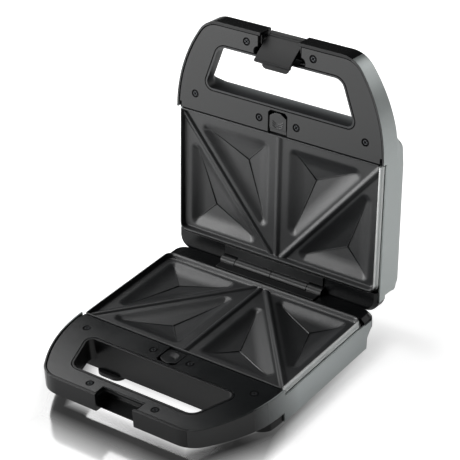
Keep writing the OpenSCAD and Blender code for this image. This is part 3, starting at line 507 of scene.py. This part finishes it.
def shape_back(x, y, z):
    """The cover's raised back: tight corners at the hinge, rounded shoulders towards the handle."""
    side, out = np.sign(x), np.abs(x)
    scale = np.where(z < CORNER_FROM, tighter(out - CORNER[0], y - CORNER[1], CORNER_R, CORNER_TO), 1)
    out, y = CORNER[0] + (out - CORNER[0]) * scale, CORNER[1] + (y - CORNER[1]) * scale
    scale = tighter(out - EDGE[0], EDGE[2] - z, EDGE_R, EDGE_TO)
    out, z = EDGE[0] + (out - EDGE[0]) * scale, EDGE[2] + (z - EDGE[2]) * scale
    scale = tighter(y - EDGE[1], EDGE[2] - z, EDGE_R, EDGE_TO)
    y, z = EDGE[1] + (y - EDGE[1]) * scale, EDGE[2] + (z - EDGE[2]) * scale
    z = np.maximum(z, EDGE[2] - EDGE_R)
    rise = np.clip((BACK_Z - z) / BACK_DEPTH, 0, 1)
    shoulder = BACK_SHIFT + BACK_ROUND * (1 - np.sqrt(1 - rise * rise * BACK_ARC))
    share = soft_step(out, *SHOULDER_X) * (1 - soft_step(y, *SHOULDER_Y)) * (rise > RISE_FROM)
    grown = z - BACK_GROW * rise * np.clip((y - GROW_FROM) / GROW_OVER, 0, 1)
    return side * np.minimum(out, COVER_HW), np.minimum(y, COVER_REAR) + shoulder * share, grown


# ---------- lid's finger opening ----------

FLARE_FROM, FLARE, FLARE_EASE = 11.0, 0.85, 3   # mm of depth where the walls run outwards, slope, soft start
FLARE_CUTS = (0, 3, 7, 11)                      # mm beyond FLARE_FROM, rings of points for it
FLARE_NEAR, FLARE_GONE = 4.5, 9                 # mm from the wall where it starts to fade, and ends
FLARE_AHEAD, FLARE_BEHIND = 3, 5                # mm before and behind the opening that move with it
ON_CUT = 1e-6                                   # metres, points this near a cut lie on it


def flare_opening(node, reshape=None):
    """Copy of a lid moulding whose finger opening widens sideways towards its back."""
    mesh = frame["nodes"][node].data.copy()
    normal = Vector(in_lid([(0, 0, 1)])[0] - in_lid([(0, 0, 0)])[0]).normalized()
    work = bmesh.new()
    work.from_mesh(mesh)
    for beyond in FLARE_CUTS:
        bmesh.ops.bisect_plane(
            work, geom=work.verts[:] + work.edges[:] + work.faces[:], dist=ON_CUT,
            plane_co=in_lid([(0, 0, -FLARE_FROM - beyond)])[0], plane_no=normal)
    work.to_mesh(mesh)
    work.free()
    x, y, z = from_lid([tuple(v.co) for v in mesh.vertices]).T
    front, rear = OPENING_Y
    wall = OPENING_HW + (rear - y) / (rear - front) * (OPENING_FRONT_HW - OPENING_HW)
    share = 1 - soft_step(np.abs(wall - np.abs(x)), FLARE_NEAR, FLARE_GONE)
    share *= (y > front - FLARE_AHEAD) & (y < rear + FLARE_BEHIND)
    depth = np.maximum(-z - FLARE_FROM, 0)
    x = x + np.sign(x) * FLARE * depth * depth / (depth + FLARE_EASE) * share
    if reshape:
        x, y, z = reshape(x, y, z)
    mesh.vertices.foreach_set("co", in_lid(np.stack((x, y, z), 1)).ravel())
    mesh.update()
    obj = bpy.data.objects.new("flared_" + node, mesh)
    bpy.context.scene.collection.objects.link(obj)
    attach(obj, "lid")
    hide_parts(node)


# ---------- latch ----------

# mm, at rest, in the object frame: half width, corner radius, front and back, bottom and top
LIP_HW, LIP_R, LIP_Y, LIP_Z = 14.8, 4.0, (112.2, 113.9), (252.0, 257.5)
LIP_STEPS = 8


def latch_lip(material):
    """Round-cornered finger lip under the latch's sheet."""
    arc = np.linspace(0, math.pi / 2, LIP_STEPS + 1)
    right = [(LIP_HW - LIP_R + LIP_R * math.sin(a), LIP_Z[0] + LIP_R - LIP_R * math.cos(a)) for a in arc]
    right.append((LIP_HW, LIP_Z[1]))
    outline = right + [(-x, z) for x, z in reversed(right)]
    n = len(outline)
    points = np.array([(x, y, z) for y in LIP_Y for x, z in outline]) * MM
    faces = [tuple(range(n)), tuple(range(2 * n - 1, n - 1, -1))]
    faces += [(k, n + k, n + (k + 1) % n, (k + 1) % n) for k in range(n)]
    obj = add_mesh("latch_lip", points, faces, material, smooth=False)
    tidy_normals(obj)
    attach(obj, "latch")


# ---------- seams ----------

# The seam strips are painted shade standing in for the dark of the narrow gap.
SEAM_W, SEAM_LIFT = 0.7, 0.03       # mm
TOP_T = 0.02                        # mm, how level a face is to be part of the top
MITRE_LIMIT = 0.3


def top_loops(mesh, unplace):
    """Outlines of a moulding's flat top face, anticlockwise about its inside, and its height."""
    local = unplace([tuple(v.co) for v in mesh.vertices])
    key = [tuple(np.round(p, 2)) for p in local]
    height = local[:, 2].max()
    after = {}
    for polygon in mesh.polygons:
        ids = list(polygon.vertices)
        if any(local[i, 2] < height - TOP_T for i in ids):
            continue
        x, y = local[ids, 0], local[ids, 1]
        if np.dot(x, np.roll(y, -1)) - np.dot(y, np.roll(x, -1)) < 0:
            ids.reverse()
        for a, b in zip(ids, ids[1:] + ids[:1]):
            if after.get(key[b]) and key[a] in after[key[b]]:
                after[key[b]].remove(key[a])
            else:
                after.setdefault(key[a], []).append(key[b])
    loops = []
    for start in list(after):
        while after.get(start):
            loop, here = [start], after[start].pop()
            while here != start and after.get(here):
                loop.append(here)
                here = after[here].pop()
            loops.append(np.array(loop)[:, :2])
    return loops, height


def inset(loop, width):
    """A closed outline moved inwards by width with mitred corners."""
    run = np.roll(loop, -1, 0) - loop
    run = run / np.maximum(np.linalg.norm(run, axis=1, keepdims=True), TINY)
    left = np.stack((-run[:, 1], run[:, 0]), 1)
    before = np.roll(left, 1, 0)
    mitre = (left + before) / np.maximum(1 + (left * before).sum(1, keepdims=True), MITRE_LIMIT)
    return loop + mitre * width


def band(points, faces, outer, inner, height):
    """Adds the flat strip between two closed outlines with as many points each."""
    first, n = len(points), len(outer)
    points += [(x, y, height) for x, y in np.vstack((outer, inner))]
    for i in range(n):
        j = (i + 1) % n
        faces.append((first + i, first + j, first + n + j, first + n + i))


def seam_shade_strips(half, material):
    """Black strips of painted shade in the gap round the edges of a half's trim."""
    place, unplace = HALVES[half]
    node = half + "_handle_trim"
    loops, height = top_loops(frame["nodes"][node].data, unplace)
    points, faces = [], []
    for loop in loops:
        band(points, faces, loop, inset(loop, SEAM_W), height + SEAM_LIFT)
    obj = add_mesh("seams_" + node, place(points), faces, material, smooth=False)
    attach(obj, half)


# ---------- trim screws ----------

# The ring round each screw's head and its cross are painted shade, black where the recesses lie in shadow.
HEAD_DEPTH, HEAD_STEPS = 0.4, 24    # mm that count as the top of a screw's head, and its steps round
SHADE_RING_INNER, SHADE_RING_LIFT = 0.72, 0.04    # the dark gap: inner radius by the head's, mm over the head
CROSS_HL, CROSS_HW, CROSS_LIFT = 0.6 / 1.414, 0.2 / 1.414, 0.05     # the cross's slanting bars, likewise


def islands(mesh):
    """Points of each separate piece of a mesh, in the order of its first vertex."""
    work = bmesh.new()
    work.from_mesh(mesh)
    bmesh.ops.remove_doubles(work, verts=work.verts, dist=MERGE)
    met, groups = set(), []
    for vertex in work.verts:
        if vertex in met:
            continue
        met.add(vertex)
        group = [vertex]
        for here in group:
            for edge in here.link_edges:
                other = edge.other_vert(here)
                if other not in met:
                    met.add(other)
                    group.append(other)
        groups.append([tuple(v.co) for v in group])
    work.free()
    return groups


def screw_recess_shade(half, material):
    """Painted shade in the gap round the head of each trim screw of a half, and in the cross cut into it."""
    place, unplace = HALVES[half]
    node = half + "_trim_screws"
    points, faces = [], []
    turn = np.linspace(0, 2 * math.pi, HEAD_STEPS, endpoint=False)
    circle = np.stack((np.cos(turn), np.sin(turn)), 1)
    for island in islands(frame["nodes"][node].data):
        local = unplace(island)
        top = local[:, 2].max()
        head = local[local[:, 2] > top - HEAD_DEPTH][:, :2]
        middle = (head.max(0) + head.min(0)) / 2
        r = (head.max(0) - head.min(0)).max() / 2
        band(points, faces, middle + r * circle, middle + SHADE_RING_INNER * r * circle, top + SHADE_RING_LIFT)
        for run in (np.array((1, 1)), np.array((1, -1))):
            across = np.array((-run[1], run[0]))
            first = len(points)
            for a, b in ((-1, -1), (1, -1), (1, 1), (-1, 1)):
                corner = middle + a * CROSS_HL * r * run + b * CROSS_HW * r * across
                points.append((*corner, top + CROSS_LIFT))
            faces.append((first, first + 1, first + 2, first + 3))
    obj = add_mesh("gaps_" + node, place(points), faces, material, smooth=False)
    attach(obj, half)


# ---------- cooking plates ----------

# All mm in a half's own frame; depths are under the plane where the halves meet.
PLATE_HW, PLATE_D = 115.0, 131.8                # half width and depth
FRONT_R, REAR_R = 3.0, 8.0                      # corner radii of its outline
MEET, LAND_Z, PLATE_T = 0.3, 5.5, 2.6           # depths of rim and land, thickness
RIM_T, RIM_LEAN = 1.6, 1.4                      # rim's thickness, and slant of its inner side
RIM_TOP, RIM_FOOT = 0.5, 0.6                    # how far that side is eased at its top and foot
RIM_EDGE, RIM_DROP = 0.5, 0.35                  # rounding of the rim's outer edge
RIDGE_A, RIDGE_B = np.array((4.3, PLATE_D)), np.array((PLATE_HW + 2.4, 0.0))    # ends of the slanting ridge
RIDGE_H, RIDGE_TOP, RIDGE_FOOT = 1.9, 0.9, 3.6  # height, half widths at its top and foot
POCKET_R = 7.0                                  # corner radius of a pocket's mouth
LAND_REAR, LAND_SIDE, LAND_FRONT, LAND_MID, LAND_SLANT = 6.3, 10.3, 11.6, 11.6, 6   # land round the pockets
WALL_FROM, WALL_SLOPE, WALL_EASE = 0.5, 0.46, 0.7       # a pocket's wall
BED_FROM, BED_Z, BED_FALL, BED_EASE = 9.5, 4.5, 1.7, 2.0      # and its bed, which sinks to the middle
BEAD_L, BEAD_HW, BEAD_H, BEAD_STEPS = 0.8, 0.65, 1.1, 14      # crease beads, length by the way to a corner
BEAD_SINK, BEAD_END, BEAD_TIP, BEAD_FADE = 0.15, 0.06, 0.35, 0.6    # sunk sides and end, its width, the taper


def slant_line(offset):
    """(point, direction) of the slanting ridge's line, shifted across by offset towards the rear."""
    run = (RIDGE_B - RIDGE_A) / np.linalg.norm(RIDGE_B - RIDGE_A)
    across = np.array((-run[1], run[0]))
    return RIDGE_A + across * offset, run


def pockets():
    """Mouth triangles of the rear and the front pocket on the right."""
    def meet_x(line, x):
        p, d = line
        return np.array((x, p[1] + (x - p[0]) * d[1] / d[0]))

    def meet_y(line, y):
        p, d = line
        return np.array((p[0] + (y - p[1]) * d[0] / d[1], y))
    rear, side = PLATE_D - LAND_REAR, PLATE_HW - LAND_SIDE
    far, near = slant_line(LAND_SLANT), slant_line(-LAND_SLANT)
    return (np.array(((side, rear), meet_y(far, rear), meet_x(far, side))),
            np.array(((LAND_MID, LAND_FRONT), meet_y(near, LAND_FRONT), meet_x(near, LAND_MID))))


def sides_of(tri):
    """Ends of each side of a triangle."""
    return [(tri[i], tri[(i + 1) % 3]) for i in range(3)]


def inward(tri, x, y):
    """Distance of points from the nearest side of a triangle, positive inside."""
    middle = tri.mean(0)
    best = None
    for a, b in sides_of(tri):
        run = (b - a) / np.linalg.norm(b - a)
        sign = 1 if run[0] * (middle[1] - a[1]) - run[1] * (middle[0] - a[0]) > 0 else -1
        d = sign * (run[0] * (y - a[1]) - run[1] * (x - a[0]))
        best = d if best is None else np.minimum(best, d)
    return best


def incentre(tri):
    """Point of a triangle that is as far from all its sides."""
    opposite = [np.linalg.norm(tri[(i + 1) % 3] - tri[(i + 2) % 3]) for i in range(3)]
    return sum(length * corner for length, corner in zip(opposite, tri)) / sum(opposite)


def rounded_depth(tri, x, y, r):
    """Distance inside a triangle whose corners are rounded to radius r."""
    centre = incentre(tri)
    radius = float(inward(tri, centre[0], centre[1]))
    core = centre + (tri - centre) * (radius - r) / radius
    inside = inward(tri, x, y)
    gap = None
    for a, b in sides_of(core):
        run = b - a
        t = np.clip(((x - a[0]) * run[0] + (y - a[1]) * run[1]) / (run @ run), 0, 1)
        d = np.hypot(x - a[0] - t * run[0], y - a[1] - t * run[1])
        gap = d if gap is None else np.minimum(gap, d)
    return np.where(inward(core, x, y) > 0, inside, r - gap)


def pocket_depth(s, reach):
    """Depth of a pocket under the land, s inside its mouth, reach its inner radius."""
    wall = (s - WALL_FROM) * WALL_SLOPE
    bed = BED_Z + (s - BED_FROM) * BED_FALL / (reach - BED_FROM)
    return soft_max(soft_min(wall, bed, BED_EASE), 0 * s, WALL_EASE)


def box_inward(x, y, hw, y0, y1, r0, r1):
    """Distance inside a rectangle with corner radii r0 at its front and r1 at its rear; x from the middle."""
    r = np.where(y < (y0 + y1) / 2, r0, r1)
    cy, hy = (y0 + y1) / 2, (y1 - y0) / 2
    qx, qy = x - (hw - r), np.abs(y - cy) - (hy - r)
    outside = np.hypot(np.maximum(qx, 0), np.maximum(qy, 0))
    return r - outside - np.minimum(np.maximum(qx, qy), 0)


def plate_top(x, y):
    """Depth of the plate's face under the meeting plane."""
    x = np.abs(x)
    depth = np.full(x.shape, LAND_Z)
    for tri in pockets():
        centre = incentre(tri)
        reach = float(inward(tri, centre[0], centre[1]))
        depth += pocket_depth(rounded_depth(tri, x, y, POCKET_R), reach)
    point, run = slant_line(0)
    slant = np.abs(run[0] * (y - point[1]) - run[1] * (x - point[0]))
    ridge = np.minimum(x, slant)
    depth -= RIDGE_H * (1 - soft_step(ridge, RIDGE_TOP, RIDGE_FOOT))
    edge = box_inward(x, y, PLATE_HW, 0, PLATE_D, FRONT_R, REAR_R)
    foot = RIM_T + RIM_LEAN + RIM_FOOT
    rim = MEET + (LAND_Z - MEET) * soft_step(edge, RIM_T - RIM_TOP, foot)
    rim = rim + RIM_DROP * (1 - soft_step(edge, 0, RIM_EDGE))
    return np.where(edge < foot, np.minimum(depth, rim), depth)


TIGHT = np.array((0, 0.12, 0.3, 0.5, 0.8, 1.1, 1.35, 1.6, 1.85, 2.1, 2.4, 2.7, 3.0, 3.3, 3.7, 4.2))


def fine_line(length):
    """Positions from 0 to length about 1 mm apart, closer together at both ends."""
    last = TIGHT[-1]
    inner = np.linspace(last, length - last, int(length - 2 * last))[1:-1]
    return np.concatenate((TIGHT, inner, (length - TIGHT)[::-1]))


def plate_points():
    """Rows and columns of the face, pulled onto the rounded outline at the corners."""
    xs = fine_line(2 * PLATE_HW) - PLATE_HW
    ys = fine_line(PLATE_D)
    x, y = (v.ravel() for v in np.meshgrid(xs, ys))
    for low, r, cy in ((True, FRONT_R, FRONT_R), (False, REAR_R, PLATE_D - REAR_R)):
        cx = PLATE_HW - r
        corner = (np.abs(x) > cx) & ((y < cy) if low else (y > cy))
        dx, dy = np.abs(x) - cx, y - cy
        length = np.maximum(np.hypot(dx, dy), TINY)
        pull = np.where(corner, np.minimum(1, r / length), 1)
        x = np.where(corner, np.sign(x) * (cx + dx * pull), x)
        y = np.where(corner, cy + dy * pull, y)
    return x, y, len(xs), len(ys)


def crease_beads():
    """Thin raised lines that meet in the middle of each pocket; returns points and faces."""
    points, faces = [], []
    for tri in pockets():
        centre = incentre(tri)
        for corner in tri:
            run = corner - centre
            length = np.linalg.norm(run) * BEAD_L
            run = run / np.linalg.norm(run)
            across = np.array((-run[1], run[0]))
            for side in (-1, 1):
                first = len(points)
                for i in range(BEAD_STEPS + 1):
                    t = i / BEAD_STEPS
                    fade = (1 - t) ** BEAD_FADE
                    for offset, lift in ((-BEAD_HW, -BEAD_SINK), (0, BEAD_H), (BEAD_HW, -BEAD_SINK)):
                        width = BEAD_TIP + (1 - BEAD_TIP) * fade
                        p = centre + run * length * t + across * offset * width
                        z = lift * fade - BEAD_END * (1 - fade) - float(plate_top(p[:1], p[1:])[0])
                        points.append((side * p[0], p[1], z))
                for i in range(BEAD_STEPS):
                    for j in range(2):
                        a = first + 3 * i + j
                        faces.append((a, a + 1, a + 4, a + 3))
    return points, faces


WALL_FOOT, FLANGE_OUT, FLANGE_Z = -6.0, 1.1, -7.0      # outer wall's foot, and the flange it stands on
UNDER_IN, UNDER_BEVEL, UNDER_Z = 3.4, 0.4, -8.1        # where the underside starts, in from the outline
SHARP = math.radians(50)                               # edges sharper than this stay crisp


def grid_faces(first, rows, columns, flip=False):
    """Quads of a grid of points that starts at index first."""
    faces = []
    for r in range(rows - 1):
        for c in range(columns - 1):
            a = first + r * columns + c
            quad = (a, a + 1, a + columns + 1, a + columns)
            faces.append((a, a + columns, a + columns + 1, a + 1) if flip else quad)
    return faces


def ring_faces(outer, inner):
    """Quads between two closed rows of point indices."""
    n = len(outer)
    return [(outer[i], inner[i], inner[(i + 1) % n], outer[(i + 1) % n]) for i in range(n)]


def make_plate(half, material):
    """A half's cast plate: modelled face with its crease beads, outer wall, flange and underside."""
    x, y, columns, rows = plate_points()
    points = np.stack((x, y, -plate_top(x, y)), 1)
    faces = grid_faces(0, rows, columns)
    loop = list(range(columns)) + [r * columns + columns - 1 for r in range(1, rows)] \
        + [(rows - 1) * columns + c for c in range(columns - 2, -1, -1)] \
        + [r * columns for r in range(rows - 2, 0, -1)]
    middle, reach = np.array((0, PLATE_D / 2)), np.array((PLATE_HW, PLATE_D / 2))
    outline, last = points[loop][:, :2], loop
    for out, z in ((0, WALL_FOOT), (FLANGE_OUT, WALL_FOOT), (FLANGE_OUT, FLANGE_Z),
                   (UNDER_BEVEL - UNDER_IN, FLANGE_Z), (-UNDER_IN, UNDER_Z)):
        moved = (outline - middle) * ((reach + out) / reach) + middle
        ring = [len(points) + i for i in range(len(loop))]
        points = np.vstack((points, np.column_stack((moved, np.full(len(loop), z)))))
        faces += ring_faces(last, ring)
        last = ring
    inner = (np.column_stack((x, y)) - middle) * ((reach - UNDER_IN) / reach) + middle
    under = -np.maximum(plate_top(inner[:, 0], inner[:, 1]), LAND_Z) - PLATE_T
    first = len(points)
    points = np.vstack((points, np.column_stack((inner, under))))
    faces += grid_faces(first, rows, columns, flip=True)
    faces += ring_faces(last, [first + i for i in loop])
    beads, bead_faces = crease_beads()
    faces += [tuple(len(points) + v for v in face) for face in bead_faces]
    points = np.vstack((points, np.array(beads)))
    place, body = HALVES[half][0], half + "_plate"
    obj = add_mesh("fine_" + body, place(points), faces, material)
    tidy_normals(obj)
    obj.data.set_sharp_from_angle(angle=SHARP)
    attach(obj, body)
    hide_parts(body)


# ---------- studio ----------

FLOOR_SIZE = 24                         # metres
FLOOR_TONE, CAMERA_LIFT = 0.85, 0.75    # the floor's own tone, and what makes it white to the camera
GLOW_WAY = (-0.5, -0.86, 0)             # it glows in reflections towards the front left
GLOW_FROM, GLOW_TO = 0.15, 0.5          # metres that way over which the glow sets in
GLOW_NEAR, GLOW_FAR = 0.35, 0.95
# The floor's dark rim is painted shadow: it darkens near the object's outline to the camera and, wider, in
# reflections.
SHADE_REACH, SHADE_DEPTH, SHADE_POWER = 0.048, 0.95, 1.1    # dark rim that the object leaves on the floor
SHADE_SIDE, SHADE_FRONT = 2.2, 0.7      # how fast it fades beside and before the object
SHADE_Y = (-0.1, 0.13)                  # metres, from here to there it fades rearwards
GLOSSY_REACH, GLOSSY_DEPTH = 0.11, 0.8  # the same rim as the object's own walls mirror it
GLOSSY_Y = (-0.1, 0.03)
INSIDE = (-0.03, -0.008)                # metres inside the outline over which the rim fades
MIRROR_SHARE, MIRROR_TONE, MIRROR_ROUGH = 0.5, 0.9, 0.12    # the floor's mirror next to the object

# Outline of the lower half on the floor, metres
SIDE_X, FRONT_Y, REAR_Y = 0.1165, -0.151, 0.15
CHAMFER, CHAMFER_AT = (0.884, -0.465, 0), 0.1365    # outward normal of its cut front corners


def floor_painted_shadow(t):
    """How far a point of the floor lies in the painted shadow round the object, for the camera and for
    reflections.
    """
    x, y = t.axes()[:2]
    across = t.maths("ABSOLUTE", x)
    folded = t.add("ShaderNodeCombineXYZ")
    t.put(across, folded.inputs[0])
    t.put(y, folded.inputs[1])
    beside, before = t.maths("SUBTRACT", across, SIDE_X), t.maths("SUBTRACT", FRONT_Y, y)
    cut = t.maths("SUBTRACT", t.dot(folded.outputs[0], CHAMFER), CHAMFER_AT)
    behind = t.maths("SUBTRACT", y, REAR_Y)
    away = t.most(beside, before, cut, behind)
    faded = t.most(t.times(beside, SHADE_SIDE), t.times(before, SHADE_FRONT), cut,
                   t.times(behind, SHADE_SIDE))
    inside = t.remap(away, *INSIDE, 0, 1)
    rim = t.maths("POWER", t.times(t.remap(faded, 0, SHADE_REACH, 1, 0), inside), SHADE_POWER)
    wide = t.times(t.remap(away, 0, GLOSSY_REACH, 1, 0), inside)
    return t.times(rim, t.remap(y, *SHADE_Y, 1, 0)), t.times(wide, t.remap(y, *GLOSSY_Y, 1, 0))


def make_floor():
    """Pale floor that runs white to the camera, with painted shadow round the object and a reflection that
    fades away from it.
    """
    bpy.ops.mesh.primitive_plane_add(size=FLOOR_SIZE, location=(0, 0, 0))
    floor = bpy.context.object
    floor.name = "floor"
    t = Tree("floor")
    path = t.add("ShaderNodeLightPath")
    seen, mirrored = path.outputs["Is Camera Ray"], path.outputs["Is Glossy Ray"]
    rim, wide = floor_painted_shadow(t)
    near = t.times(rim, seen)
    dark = t.maths("ADD", t.times(near, SHADE_DEPTH), t.times(wide, mirrored, GLOSSY_DEPTH))
    light = t.remap(dark, 0, 1, 1, 0)
    tone = t.add("ShaderNodeCombineColor")
    for channel in range(3):
        t.put(t.times(light, FLOOR_TONE), tone.inputs[channel])
    diffuse = t.add("ShaderNodeBsdfDiffuse")
    t.put(tone.outputs[0], diffuse.inputs["Color"])
    mirror = t.add("ShaderNodeBsdfGlossy")
    mirror.inputs["Color"].default_value = (MIRROR_TONE, MIRROR_TONE, MIRROR_TONE, 1)
    mirror.inputs["Roughness"].default_value = MIRROR_ROUGH
    glow = t.remap(t.dot(t.place, GLOW_WAY), GLOW_FROM, GLOW_TO, GLOW_NEAR, GLOW_FAR)
    lift = t.add("ShaderNodeEmission")
    t.put(t.maths("ADD", t.times(seen, light, CAMERA_LIFT), t.times(mirrored, glow)), lift.inputs["Strength"])
    lit = t.add("ShaderNodeAddShader")
    t.put(diffuse.outputs[0], lit.inputs[0])
    t.put(lift.outputs[0], lit.inputs[1])
    whole = t.add("ShaderNodeMixShader")
    t.put(t.times(near, MIRROR_SHARE), whole.inputs[0])
    t.put(lit.outputs[0], whole.inputs[1])
    t.put(mirror.outputs[0], whole.inputs[2])
    t.put(whole.outputs[0], t.out.inputs["Surface"])
    floor.data.materials.append(t.material)


def make_world(strength):
    """Dim room round the studio; plain white to the camera."""
    world = bpy.data.worlds.new("studio")
    world.use_nodes = True
    nodes, links = world.node_tree.nodes, world.node_tree.links
    background = nodes["Background"]
    background.inputs["Color"].default_value = (1, 1, 1, 1)
    path = nodes.new("ShaderNodeLightPath")
    seen = nodes.new("ShaderNodeMath")
    seen.operation = "MAXIMUM"
    links.new(path.outputs["Is Camera Ray"], seen.inputs[0])
    links.new(path.outputs["Is Transmission Ray"], seen.inputs[1])
    level = nodes.new("ShaderNodeMapRange")
    links.new(seen.outputs[0], level.inputs["Value"])
    level.inputs["To Min"].default_value = strength
    level.inputs["To Max"].default_value = 1.0
    links.new(level.outputs["Result"], background.inputs["Strength"])
    bpy.context.scene.world = world


AIM = Vector((0, 0.03, 0.12))           # metres, what the softboxes point at
ROOM = 0.04                             # strength of the room's own light

# Name, azimuth and elevation in degrees (azimuth 0 is in front of the object, 90 on its right),
# distance, width and height in metres, radiance (1 is the white of the background), roll in degrees
SOFTBOXES = (("front_left", -56, 14, 1.9, 1.9, 0.9, 8.5, 0),
             ("left_high", -95, 62, 1.6, 0.9, 0.9, 3.8, 0),
             ("left", -111.5, 39, 1.15, 0.6, 0.7, 2.1, 29),
             ("back_right", 150, 25, 1.9, 1.2, 1.0, 1.2, 0))


def softbox(name, azimuth, elevation, distance, width, height, radiance, roll):
    """Rectangular light of even brightness in a direction from the object."""
    az, el = math.radians(azimuth), math.radians(elevation)
    way = Vector((math.sin(az) * math.cos(el), -math.cos(az) * math.cos(el), math.sin(el)))
    data = bpy.data.lights.new(name, "AREA")
    data.shape = "RECTANGLE"
    data.size, data.size_y = width, height
    data.energy = radiance * math.pi * width * height
    lamp = bpy.data.objects.new(name, data)
    lamp.location = AIM + way * distance
    facing = (-way).to_track_quat("-Z", "Y").to_matrix()
    lamp.rotation_euler = (facing @ Matrix.Rotation(math.radians(roll), 3, "Z")).to_euler()
    bpy.context.scene.collection.objects.link(lamp)


bpy.context.scene.view_settings.view_transform = "Standard"
make_camera()
make_floor()
make_world(ROOM)
for row in SOFTBOXES:
    softbox(*row)
materials = make_materials()
dress_nodes(materials)
paint_cover(materials["opening_wall"], materials["black_moulding"])
latch_lip(materials["latch_plastic"])
flare_opening("lid_cover", shape_back)
flare_opening("lid_frame")
for half in HALVES:
    seam_shade_strips(half, materials["seam"])
for half in HALVES:
    screw_recess_shade(half, materials["seam"])
for half in HALVES:
    make_plate(half, materials["nonstick_plate"])
